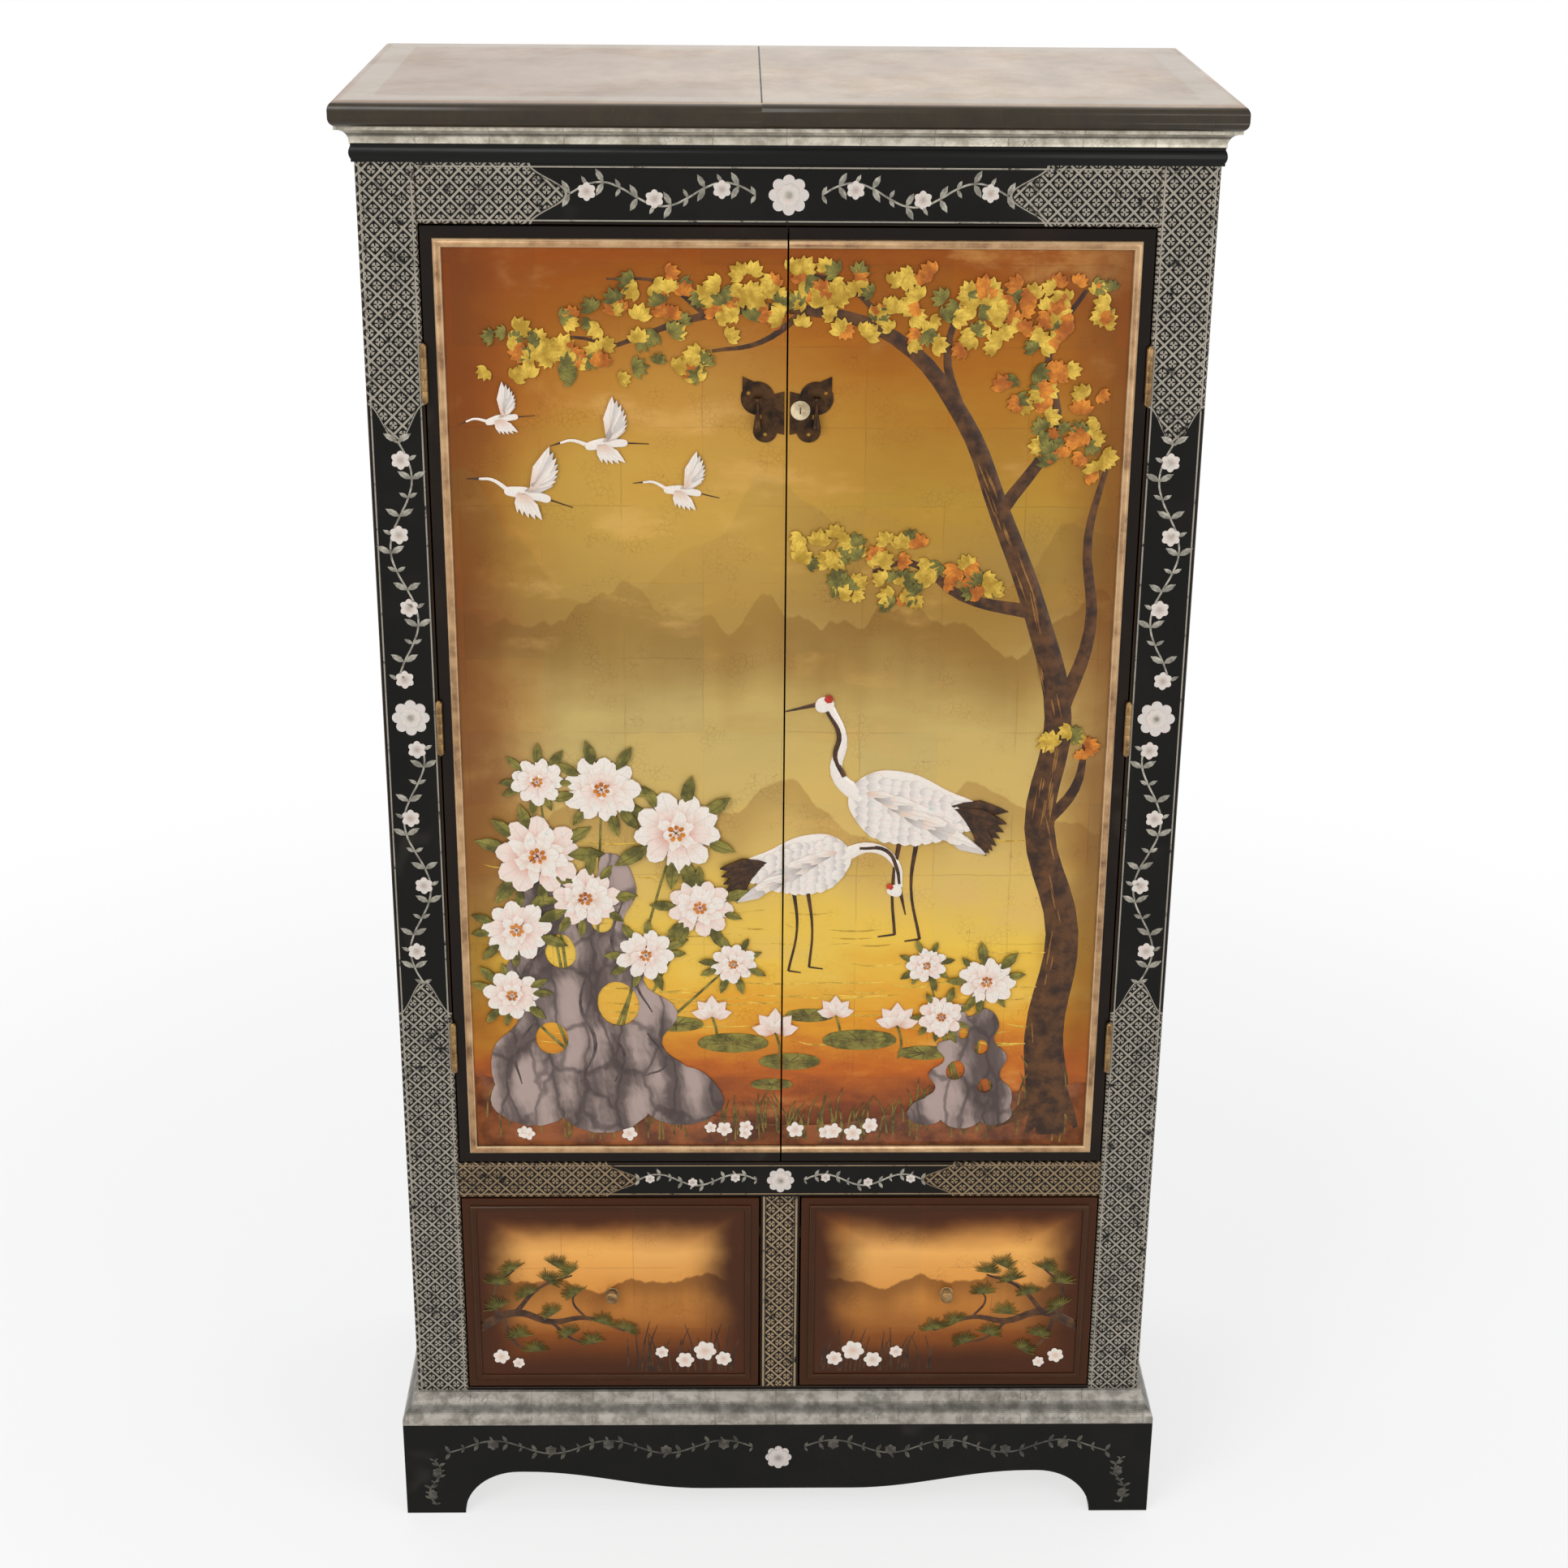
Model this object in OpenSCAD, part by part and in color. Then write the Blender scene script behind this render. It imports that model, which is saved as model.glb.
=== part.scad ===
// A lacquered two-door wardrobe with two drawers, on a scalloped plinth.
// Millimetres. X runs to the right, Y to the back and Z up. The origin is on the floor.

/* [Overall size] */
// Height from the floor to the top surface
total_h = 1830; // [1780:5:1880]
// Width over the side panels
body_w = 940; // [900:5:1000]
// Depth from the face of the frame to the outside of the back
body_d = 465; // [440:5:520]

/* [Top] */
// Thickness of the top boards
top_t = 28; // [24:1:34]
// How far the top stands out past the face frame
top_over_front = 30; // [26:1:40]
// How far the top stands out past each side panel
top_over_side = 22; // [20:1:40]
// How far the top stands out past the back
top_over_back = 5; // [0:1:15]
// Radius of the rounded edge of the top
top_round = 10; // [6:0.5:12]
// Place of the seam between the two top boards, from the middle
top_seam_x = -30; // [-60:5:60]
// Depth of the small groove along that seam
top_seam_groove = 1; // [0.5:0.1:2]

/* [Face frame] */
// Thickness of the stiles and rails
frame_t = 22; // [21:1:26]
// Width of each front stile
stile_w = 65; // [55:1:80]
// Height of the frieze rail
top_rail_h = 107; // [98:1:125]
// Height of the rail between the doors and the drawers
mid_rail_h = 50; // [42:1:70]
// Height of the rail behind the base moulding
bottom_rail_h = 46; // [45:1:60]
// Width of the muntin between the drawers
muntin_w = 50; // [44:1:80]
// Height of the drawer openings
drawer_open_h = 286; // [262:1:300]
// Bevel along the front edges of the frame
frame_ease = 1.5; // [0.5:0.25:3]
// Length of the tenons on the rails
tenon_l = 35; // [20:1:45]
// Thickness of every tenon
tenon_t = 8; // [6:1:10]

/* [Carcass] */
// Thickness of the side panels
side_t = 18; // [15:1:22]
// Thickness of the back panel
back_t = 6; // [4:1:9]
// Thickness of the wardrobe floor and the base board
floor_t = 18; // [15:1:22]
// Thickness of the partition between the drawers
partition_t = 18; // [15:1:22]
// Depth of the grooves that hold the boards in the side panels
dado_d = 6; // [4:1:9]
// Width of the rebate that holds the back panel
rebate_w = 8; // [5:1:12]

/* [Inside the wardrobe] */
// Thickness of the hat shelf
shelf_t = 16; // [12:1:22]
// Space between the hat shelf and the top
shelf_below_top = 226; // [180:2:300]
// Setback of the hat shelf behind the face frame
shelf_setback = 48; // [20:2:120]
// Height of the cleats under the shelf
cleat_h = 30; // [20:1:45]
// Thickness of the cleats
cleat_t = 16; // [12:1:20]
// Radius of the hanging rail
rail_r = 12.5; // [10:0.5:15]
// Space between the hat shelf and the middle of the hanging rail
rail_below_shelf = 60; // [45:1:90]
// Length of the cup that holds each end of the hanging rail
socket_l = 16; // [12:1:24]
// Wall of that cup
socket_wall = 3.5; // [2.5:0.5:5]

/* [Doors] */
// Thickness of the doors
door_t = 21; // [18:0.5:21]
// Gap round the doors
door_gap = 2; // [1.5:0.1:3]
// How far the door and drawer faces sit behind the frame face
door_set = 0.5; // [0.2:0.1:1]
// Width of the black border round each door
door_border = 13; // [10:1:20]
// Width of the light bead round the picture
door_bead_w = 10; // [8:1:14]
// How far the bead lies over the picture panel
bead_lap = 3; // [1:0.5:4]
// Thickness of the picture panels
panel_t = 3; // [2:0.5:5]
// Height of the door stop behind the frieze rail
stop_h = 50; // [35:1:70]
// How far the door stop hangs below the frieze rail
stop_drop = 12; // [8:1:16]
// Thickness of the door stop
stop_t = 18; // [15:1:24]

/* [Hinges] */
// Length of each hinge
hinge_h = 64; // [50:1:80]
// Radius of the hinge knuckles
knuckle_r = 4; // [3.5:0.1:4.5]
// Radius of the hinge pins
pin_r = 2; // [1.5:0.1:2.5]
// Thickness of the hinge leaves
leaf_t = 1.6; // [1.2:0.1:2]
// Depth of the leaves behind the face
leaf_w = 17; // [14:1:18]
// Distance of the outer hinges from the ends of the door opening
hinge_inset = 165; // [90:5:220]
// Radius of the hinge screws
screw_r = 1.75; // [1.25:0.25:2.25]
// Length of the hinge screws
screw_l = 16; // [10:1:20]

/* [Lock, bolt and pulls] */
// Height of the lock above the middle of the doors
lock_up = 382; // [300:2:420]
// Distance of the lock from the middle of the wardrobe
lock_x = 15; // [14:1:18]
// Radius of the lock barrel
barrel_r = 8.5; // [7:0.5:9.5]
// Radius of the turning plug
plug_r = 6; // [4:0.5:6]
// Reach of the lock cam from the plug's axis
cam_reach = 38; // [32:1:44]
// Thickness of the pull plates
plate_t = 1.6; // [1:0.1:2.5]
// Radius of the large upper wing of each pull plate
wing_r = 19; // [16:0.5:21]
// Distance of the pendants from the middle of the wardrobe
wing_x = 33; // [31:0.5:38]
// Thickness of the ears that hold a pendant
ear_t = 2; // [1.5:0.25:3]
// Radius of the bulb at the end of a pendant
pendant_r = 5; // [3.5:0.25:5.5]
// Length of a pendant below its pin
pendant_l = 36; // [28:1:46]
// Radius of the bolt rod
bolt_r = 3.5; // [2.5:0.25:4]
// Travel of the bolt
bolt_travel = 12; // [8:1:14]

/* [Drawers] */
// Gap round the drawer fronts
drawer_gap = 2; // [1.5:0.1:3]
// Thickness of the drawer fronts
drawer_front_t = 20; // [18:1:22]
// Thickness of the drawer sides and back
drawer_side_t = 12; // [10:1:15]
// Height of the drawer sides
drawer_side_h = 210; // [150:2:220]
// Length of the drawer box behind its front
drawer_box_l = 385; // [330:5:400]
// Thickness of the drawer bottom
drawer_bottom_t = 5; // [4:0.5:7]
// Depth of the grooves for the drawer bottom
groove_d = 5; // [3:0.5:6]
// Number of dovetails at each corner
tail_count = 4; // [3:1:5]
// Length of the half-blind dovetails in the drawer fronts
tail_lap = 13; // [10:1:14]
// Border round the bead of a drawer front
drawer_border = 10; // [8:1:16]
// Width of the bead on a drawer front
drawer_bead_w = 8; // [6:1:12]
// Thickness of the runners and kickers
runner_t = 16; // [12:1:18]
// Height of the stops at the back of the runners
runner_stop_h = 24; // [12:2:40]
// Space beside a drawer
guide_gap = 1.5; // [0.5:0.1:1.8]
// Space over a drawer side
kicker_gap = 2; // [1:0.5:4]
// Radius of the drawer knobs
knob_r = 8; // [6.5:0.5:11]

/* [Cornice, base moulding and plinth] */
// Height of the light cove under the top
cove_h = 20; // [16:1:26]
// Projection of the cove
cove_out = 18; // [14:1:20]
// Height of the black bead under the cove
torus_h = 20; // [14:1:24]
// Projection of the bead
torus_out = 5; // [3:0.5:7]
// Height of the base moulding
base_mould_h = 42; // [34:1:44]
// Projection of the plinth past the frame and the sides
plinth_out = 20; // [14:1:22]
// Projection of the top of the base moulding
base_mould_top = 5; // [3:0.5:9]
// Height of the plinth
plinth_h = 138; // [120:1:160]
// Thickness of the plinth boards
plinth_t = 25; // [22:1:30]
// Width of a bracket foot on the floor
foot_w = 77; // [60:1:90]
// Width of the curve on the inside of a foot
foot_curve_w = 72; // [40:1:80]
// Height of the highest part of the scalloped edge
scallop_z = 65; // [50:1:80]
// Height of the dropped middle of the scalloped edge
drop_z = 38; // [25:1:48]
// Legs of the glue blocks in the corners of the plinth
block_leg = 60; // [45:1:80]

/* [Rosettes] */
// Radius of the rosette on the frieze
rosette_r = 22; // [16:1:26]
// Thickness of the rosettes
rosette_t = 2.2; // [1.5:0.1:3]

/* [Hidden] */
fit = 0.1;               // clearance in glued joints
running = 0.06;          // radial clearance of a turning or sliding round part
thread_fit = 0.03;       // clearance round a screw
seat = 0.3;              // clearance under a part that slides
past = 1;                // how far a cutting shape runs past the face it cuts
curve_steps = 14;        // points along each drawn curve
$fn = 48;

front_y = -(body_d + top_over_front + top_over_back) / 2 + top_over_front;
back_y = front_y + body_d;
frame_y = front_y + frame_t;          // back of the face frame
panel_y = back_y - back_t;            // inner face of the back panel
face_y = front_y + door_set;          // front of the doors and drawers
half_w = body_w / 2;
inner_x = half_w - side_t;            // inner face of a side panel
open_x = half_w - stile_w;            // edge of the openings
top_z = total_h - top_t;              // underside of the top
drawer_z0 = plinth_h + bottom_rail_h;
drawer_z1 = drawer_z0 + drawer_open_h;
door_z0 = drawer_z1 + mid_rail_h;
door_z1 = top_z - top_rail_h;
floor_z = door_z0 - floor_t;          // underside of the wardrobe floor
base_z = plinth_h + floor_t;          // top of the base board
shelf_z = top_z - shelf_below_top - shelf_t;
rail_z = shelf_z - rail_below_shelf;
rail_y = (frame_y + panel_y) / 2;

door_x0 = door_gap / 2;               // meeting edge of the right door
door_x1 = open_x - door_gap;          // hinge edge of the right door
door_back_y = face_y + door_t;
door_bead_r = door_bead_w / 2;
panel_inset = door_border + door_bead_w - bead_lap;
bead_x = door_x1 - door_border - door_bead_r;
bead_z0 = door_z0 + door_gap + door_border + door_bead_r;
bead_z1 = door_z1 - door_gap - door_border - door_bead_r;

hinge_x = open_x - door_gap / 2;
hinge_y = front_y - knuckle_r - 0.6;
hinge_zs = [door_z0 + hinge_inset, (door_z0 + door_z1) / 2, door_z1 - hinge_inset];
knuckle_n = 5;
knuckle_pitch = hinge_h / knuckle_n;
knuckle_gap = 0.2;
screw_zs = [-hinge_h / 3, 0, hinge_h / 3];
screw_y = front_y + leaf_w * 0.6;
screw_head_r = screw_r + leaf_t;

lock_z = (door_z0 + door_z1) / 2 + lock_up;
lock_flange_t = 2;
lock_nut_t = 3;
plate_y = face_y - plate_t;           // front of the pull plates
plate_x0 = 3;                         // edge of a pull plate beside the meeting line
stud_r = 2;                           // stud of a drawer knob
eye_r = 3.4;
eye_w = 4;
eye_pin_r = 1.3;
eye_gap = 0.4;
eye_y = plate_y - pendant_r - 1;      // axis of a pendant's pin
eye_z = lock_z + 12;
cam_w = 12;
cam_t = 2;
cam_y = door_back_y + lock_nut_t + 1; // front of the lock cam

stop_z0 = door_z1 - stop_drop;
bolt_x = -25;
bolt_plate_t = 2;
bolt_guide = 10;                      // size of the two guide blocks
bolt_y = door_back_y + bolt_plate_t + bolt_guide / 2 + 1;
bolt_top = stop_z0 - 3;
bolt_guide_top = bolt_top - 8;
bolt_guide_bottom = bolt_guide_top - 52;
bolt_rod_l = 78;
bolt_knob_z = bolt_guide_bottom + 17;

drawer_x0 = muntin_w / 2 + drawer_gap;
drawer_x1 = open_x - drawer_gap;
drawer_mid_x = (drawer_x0 + drawer_x1) / 2;
drawer_front_z0 = drawer_z0 + drawer_gap;
drawer_front_z1 = drawer_z1 - drawer_gap;
drawer_mid_z = (drawer_front_z0 + drawer_front_z1) / 2;
drawer_back_y = face_y + drawer_front_t;          // back of a drawer front
drawer_end_y = drawer_back_y + drawer_box_l;
drawer_side_z0 = drawer_z0 + seat;
drawer_side_z1 = drawer_side_z0 + drawer_side_h;
groove_z = drawer_side_z0 + 10;
tail_pitch = drawer_side_h / tail_count;
tail_root = tail_pitch * 0.36;        // height of a dovetail at its root
tail_slope = 1 / 7;                   // spread of a dovetail along its length

plinth_x = half_w + plinth_out;
plinth_y = front_y - plinth_out;
foot_top_w = foot_w + foot_curve_w;
side_drop_z = (scallop_z + drop_z) / 2; // height of the dropped middle on the sides
rosette_z = (door_z0 + door_z1) / 2 + 12;
rosette_small = 0.78;                 // the rail and plinth rosettes against the frieze rosette

lacquer = [0.05, 0.05, 0.06];
silver = [0.62, 0.61, 0.58];
top_beige = [0.72, 0.66, 0.58];
gold_picture = [0.80, 0.58, 0.20];
gilt = [0.68, 0.52, 0.34];
bronze = [0.30, 0.22, 0.12];
brass = [0.72, 0.58, 0.30];
steel = [0.70, 0.70, 0.70];
dark_wood = [0.24, 0.15, 0.10];
pale_wood = [0.70, 0.55, 0.38];
pearl = [0.86, 0.85, 0.80];

// Shared shapes

module block(x0, x1, y0, y1, z0, z1) {
    translate([x0, y0, z0]) cube([x1 - x0, y1 - y0, z1 - z0]);
}

// Right-hand geometry as it is for side 1, mirrored for side -1
module on_side(side) {
    if (side < 0) mirror([1, 0, 0]) children();
    else children();
}

// A 2D shape drawn in X and Z, standing forwards from y by t
module upright(y, t) {
    translate([0, y, 0]) rotate([90, 0, 0]) linear_extrude(t) children();
}

// A profile drawn as [projection, height], run along X in front of the frame
module front_run(length) {
    translate([-length / 2, front_y, 0]) rotate([90, 0, 90]) linear_extrude(length) mirror([1, 0]) children();
}

// The same profile, run along the outside of the right side panel
module side_run(length) {
    translate([half_w, back_y, 0]) rotate([90, 0, 0]) linear_extrude(length) children();
}

// The plan areas that mitre the front run and the side run of a moulding that stands out by reach
module front_plan(reach, z0, z1) {
    translate([0, 0, z0]) linear_extrude(z1 - z0)
        polygon([[-half_w, front_y], [half_w, front_y], [half_w + reach, front_y - reach],
                 [-half_w - reach, front_y - reach]]);
}

module side_plan(reach, z0, z1) {
    translate([0, 0, z0]) linear_extrude(z1 - z0)
        polygon([[half_w, front_y], [half_w + reach, front_y - reach], [half_w + reach, back_y],
                 [half_w, back_y]]);
}

// Top

module top_edge_profile(length) {
    translate([top_round, 0]) square([length - 2 * top_round, top_t]);
    translate([0, top_round]) square([length, top_t - 2 * top_round]);
    for (x = [top_round, length - top_round])
        for (z = [top_round, top_t - top_round])
            translate([x, z]) circle(top_round);
}

module whole_top() {
    top_w = body_w + 2 * top_over_side;
    top_d = body_d + top_over_front + top_over_back;
    intersection() {
        translate([-top_w / 2, back_y + top_over_back, top_z])
            rotate([90, 0, 0]) linear_extrude(top_d) top_edge_profile(top_w);
        translate([-top_w / 2, front_y - top_over_front, top_z])
            rotate([90, 0, 90]) linear_extrude(top_w) top_edge_profile(top_d);
    }
}

// The half of the top on one side of its seam, with half of the groove along the seam
module top_half(side) {
    reach = body_w;
    x0 = side < 0 ? top_seam_x - reach : top_seam_x;
    difference() {
        intersection() {
            whole_top();
            block(x0, x0 + reach, -body_d, body_d, top_z - past, total_h + past);
        }
        translate([top_seam_x, body_d, total_h]) rotate([90, 0, 0]) linear_extrude(2 * body_d)
            polygon([[-top_seam_groove, past / 100], [top_seam_groove, past / 100], [0, -top_seam_groove]]);
    }
}

module top_board_left() { color(top_beige) top_half(-1); }
module top_board_right() { color(top_beige) top_half(1); }

// Cornice: a light cove over a black bead, in one strip

module cornice_profile() {
    bead_r = (torus_h * torus_h / 4 + torus_out * torus_out) / (2 * torus_out);
    neck = torus_out - 1;
    cove_r = cove_out - neck;
    lip = 4;
    translate([0, top_z - cove_h - torus_h]) {
        square([torus_out * 0.6, torus_h + cove_h]);
        intersection() {
            translate([torus_out - bead_r, torus_h / 2]) circle(bead_r, $fn = 96);
            square([torus_h, torus_h]);
        }
        difference() {
            translate([0, torus_h]) square([cove_out, cove_h]);
            translate([cove_out, torus_h + cove_h - lip - cove_r]) circle(cove_r);
        }
    }
}

module cornice_front() {
    color(silver) intersection() {
        front_run(body_w + 2 * cove_out) cornice_profile();
        front_plan(cove_out, top_z - cove_h - torus_h, top_z);
    }
}

module cornice_sides() {
    color(silver) for (side = [-1, 1]) on_side(side) intersection() {
        side_run(body_d + cove_out) cornice_profile();
        side_plan(cove_out, top_z - cove_h - torus_h, top_z);
    }
}

// Face frame

// Plan outline of an upright board with a bevel on its two front edges
module upright_board(x0, x1, z0, z1) {
    e = frame_ease;
    translate([0, 0, z0]) linear_extrude(z1 - z0)
        polygon([[x0, frame_y], [x0, front_y + e], [x0 + e, front_y], [x1 - e, front_y],
                 [x1, front_y + e], [x1, frame_y]]);
}

// A rail between the stiles, bevelled along its front edges
module rail_board(z0, z1, x0, x1) {
    e = frame_ease;
    translate([x0, 0, 0]) rotate([90, 0, 90]) linear_extrude(x1 - x0)
        polygon([[frame_y, z0], [frame_y, z1], [front_y + e, z1], [front_y, z1 - e],
                 [front_y, z0 + e], [front_y + e, z0]]);
}

tenon_shoulder = 10;

// The tenon on the right end of a rail, larger all round by grow
module rail_tenon(z0, z1, grow) {
    mid = (front_y + frame_y) / 2;
    block(open_x - past * grow, open_x + tenon_l + grow, mid - tenon_t / 2 - grow, mid + tenon_t / 2 + grow,
          z0 + tenon_shoulder - grow, z1 - tenon_shoulder + grow);
}

// The tenons on the ends of the muntin, larger all round by grow
module muntin_tenons(grow) {
    mid = (front_y + frame_y) / 2;
    reach = 14;
    w = muntin_w / 2 - tenon_shoulder;
    block(-w - grow, w + grow, mid - tenon_t / 2 - grow, mid + tenon_t / 2 + grow,
          drawer_z0 - reach - grow, drawer_z1 + reach + grow);
}

module whole_rail(z0, z1) {
    union() {
        rail_board(z0, z1, -open_x, open_x);
        for (side = [-1, 1]) on_side(side) rail_tenon(z0, z1, 0);
    }
}

module whole_stile() {
    difference() {
        upright_board(open_x, half_w, plinth_h, top_z);
        rail_tenon(door_z1, top_z, fit);
        rail_tenon(drawer_z1, door_z0, fit);
        rail_tenon(plinth_h, drawer_z0, fit);
        hinge_frame_pocket();
    }
}

module stile_left() { color(lacquer) on_side(-1) whole_stile(); }
module stile_right() { color(lacquer) whole_stile(); }
module frieze_rail() { color(lacquer) whole_rail(door_z1, top_z); }

module middle_rail() {
    color(lacquer) difference() {
        whole_rail(drawer_z1, door_z0);
        muntin_tenons(fit);
    }
}

module bottom_rail() {
    color(lacquer) difference() {
        whole_rail(plinth_h, drawer_z0);
        muntin_tenons(fit);
    }
}

module drawer_muntin() {
    color(lacquer) union() {
        upright_board(-muntin_w / 2, muntin_w / 2, drawer_z0, drawer_z1);
        muntin_tenons(0);
    }
}

// Carcass

module whole_side() {
    difference() {
        block(inner_x, half_w, frame_y, back_y, plinth_h, top_z);
        block(inner_x - past, inner_x + rebate_w, panel_y - fit, back_y + past,
              plinth_h - past, top_z + past);
        for (z = [plinth_h, floor_z])
            block(inner_x - past, inner_x + dado_d, frame_y - past, panel_y,
                  z - (z == plinth_h ? past : fit), z + floor_t + fit);
    }
}

module carcass_board(z) {
    half = inner_x + dado_d - fit;
    block(-half, half, frame_y, panel_y - fit, z, z + floor_t);
}

module side_panel_left() { color(lacquer) on_side(-1) whole_side(); }
module side_panel_right() { color(lacquer) whole_side(); }

module back_panel() {
    half = inner_x + rebate_w - fit;
    color(dark_wood) block(-half, half, panel_y, back_y, plinth_h, top_z);
}

module wardrobe_floor() { color(dark_wood) carcass_board(floor_z); }
module base_board() { color(pale_wood) carcass_board(plinth_h); }

module drawer_partition() {
    color(pale_wood) block(-partition_t / 2, partition_t / 2, frame_y, panel_y - fit, base_z, floor_z);
}

// A channel that carries, guides, holds down and stops one side of a drawer, between wall_x and the drawer
module runner_channel(wall_x, guide_x, flange_x) {
    kicker_z = drawer_side_z1 + kicker_gap;
    block(min(guide_x, flange_x), max(guide_x, flange_x), drawer_end_y + seat, panel_y - fit,
          drawer_z0, drawer_z0 + runner_stop_h);
    translate([0, panel_y - fit, 0]) rotate([90, 0, 0]) linear_extrude(panel_y - fit - frame_y)
        polygon([[wall_x, drawer_z0 - runner_t], [flange_x, drawer_z0 - runner_t], [flange_x, drawer_z0],
                 [guide_x, drawer_z0], [guide_x, kicker_z], [flange_x, kicker_z],
                 [flange_x, kicker_z + runner_t], [wall_x, kicker_z + runner_t]]);
}

module drawer_runners() {
    color(pale_wood) for (side = [-1, 1]) on_side(side) {
        runner_channel(inner_x, drawer_x1 + guide_gap, drawer_x1 - drawer_side_t);
        runner_channel(partition_t / 2, drawer_x0 - guide_gap, drawer_x0 + drawer_side_t);
    }
}

// Inside the wardrobe

module hat_shelf() {
    color(dark_wood) block(-inner_x + fit, inner_x - fit, frame_y + shelf_setback, panel_y - fit,
                           shelf_z, shelf_z + shelf_t);
}

module shelf_cleats() {
    color(dark_wood) {
        for (side = [-1, 1]) on_side(side)
            block(inner_x - cleat_t, inner_x, frame_y + shelf_setback, panel_y - cleat_t - fit,
                  shelf_z - cleat_h, shelf_z);
        block(-inner_x, inner_x, panel_y - cleat_t, panel_y, shelf_z - cleat_h, shelf_z);
    }
}

module along_x(x, y, z) {
    translate([x, y, z]) rotate([0, 90, 0]) children();
}

module rail_sockets() {
    flange_t = 3;
    color(brass) for (side = [-1, 1]) on_side(side) difference() {
        union() {
            along_x(inner_x - flange_t, rail_y, rail_z) cylinder(h = flange_t, r = rail_r + 3 * socket_wall);
            along_x(inner_x - socket_l, rail_y, rail_z) cylinder(h = socket_l, r = rail_r + socket_wall);
        }
        along_x(inner_x - socket_l - past, rail_y, rail_z)
            cylinder(h = socket_l - flange_t + past, r = rail_r + fit);
    }
}

module hanging_rail() {
    half = inner_x - 3 - seat;
    color(brass) along_x(-half, rail_y, rail_z) cylinder(h = 2 * half, r = rail_r);
}

module door_stop() {
    mortise = bolt_r + 1;
    color(dark_wood) difference() {
        block(-open_x, open_x, frame_y, frame_y + stop_t, stop_z0, stop_z0 + stop_h);
        block(bolt_x - mortise, bolt_x + mortise, bolt_y - mortise, bolt_y + mortise,
              stop_z0 - past, stop_z0 + bolt_travel + 8);
    }
}

// Base moulding, an ogee that spreads from the frame to the plinth

module base_profile() {
    foot = 7;
    head = 6;
    translate([0, plinth_h]) polygon(concat(
        [[0, 0], [plinth_out, 0]],
        [for (i = [0:curve_steps]) let (t = i / curve_steps)
            [base_mould_top + (plinth_out - base_mould_top) * (1 + cos(180 * t)) / 2,
             foot + (base_mould_h - foot - head) * t]],
        [[base_mould_top, base_mould_h], [0, base_mould_h]]));
}

module base_moulding_front() {
    color(silver) intersection() {
        front_run(body_w + 2 * plinth_out) base_profile();
        front_plan(plinth_out, plinth_h, plinth_h + base_mould_h);
    }
}

module base_moulding_sides() {
    color(silver) for (side = [-1, 1]) on_side(side) intersection() {
        side_run(body_d + plinth_out) base_profile();
        side_plan(plinth_out, plinth_h, plinth_h + base_mould_h);
    }
}

// Plinth

// The left half of the scalloped lower edge of a board, from its foot to its middle at the height mid_z
function scallop(length, mid_z) = let (u0 = foot_top_w + length * 0.01, u1 = length / 2 * 0.8) concat(
    [[0, 0]],
    [for (i = [0:curve_steps]) let (a = 90 * i / curve_steps)
        [foot_w + foot_curve_w * (1 - cos(a)), scallop_z * sin(a)]],
    [for (i = [0:curve_steps]) let (t = i / curve_steps)
        [u0 + (u1 - u0) * t, scallop_z - (scallop_z - mid_z) * (1 - cos(180 * t)) / 2]]);

module scalloped_board(length, mid_z) {
    half = scallop(length, mid_z);
    n = len(half);
    polygon(concat([[0, plinth_h]], half,
                   [for (i = [0:n - 1]) [length - half[n - 1 - i][0], half[n - 1 - i][1]]],
                   [[length, plinth_h]]));
}

module plinth_front() {
    color(lacquer) intersection() {
        translate([-plinth_x, plinth_y + plinth_t, 0]) rotate([90, 0, 0]) linear_extrude(plinth_t)
            scalloped_board(2 * plinth_x, drop_z);
        linear_extrude(plinth_h)
            polygon([[-plinth_x, plinth_y], [plinth_x, plinth_y], [plinth_x - plinth_t, plinth_y + plinth_t],
                     [-plinth_x + plinth_t, plinth_y + plinth_t]]);
    }
}

module plinth_side() {
    length = back_y - plinth_y;
    intersection() {
        translate([plinth_x - plinth_t, plinth_y, 0]) rotate([90, 0, 90]) linear_extrude(plinth_t)
            scalloped_board(length, side_drop_z);
        linear_extrude(plinth_h)
            polygon([[plinth_x, plinth_y], [plinth_x, back_y], [plinth_x - plinth_t, back_y],
                     [plinth_x - plinth_t, plinth_y + plinth_t]]);
    }
}

module plinth_left() { color(lacquer) on_side(-1) plinth_side(); }
module plinth_right() { color(lacquer) plinth_side(); }

module plinth_back() {
    half = plinth_x - plinth_t;
    color(dark_wood) block(-half, half, back_y - plinth_t, back_y, scallop_z, plinth_h);
}

module plinth_blocks() {
    x = plinth_x - plinth_t;
    front = plinth_y + plinth_t;
    back = back_y - plinth_t;
    color(pale_wood) for (side = [-1, 1]) on_side(side)
        translate([0, 0, scallop_z]) linear_extrude(plinth_h - scallop_z) {
            polygon([[x, front], [x, front + block_leg], [x - block_leg, front]]);
            polygon([[x, back], [x - block_leg, back], [x, back - block_leg]]);
        }
}

// Rosettes: eight round petals round a domed eye, set on the frame

module rosette(x, y, z, size) {
    r = rosette_r * size;
    petal_r = r * 0.3;
    translate([x, y, z]) rotate([90, 0, 0]) {
        for (i = [0:7]) rotate(45 * i) translate([r - petal_r, 0, 0])
            cylinder(h = rosette_t * 0.7, r = petal_r);
        cylinder(h = rosette_t * 0.85, r = r * 0.55);
        cylinder(h = rosette_t, r1 = r * 0.3, r2 = r * 0.2);
    }
}

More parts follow.
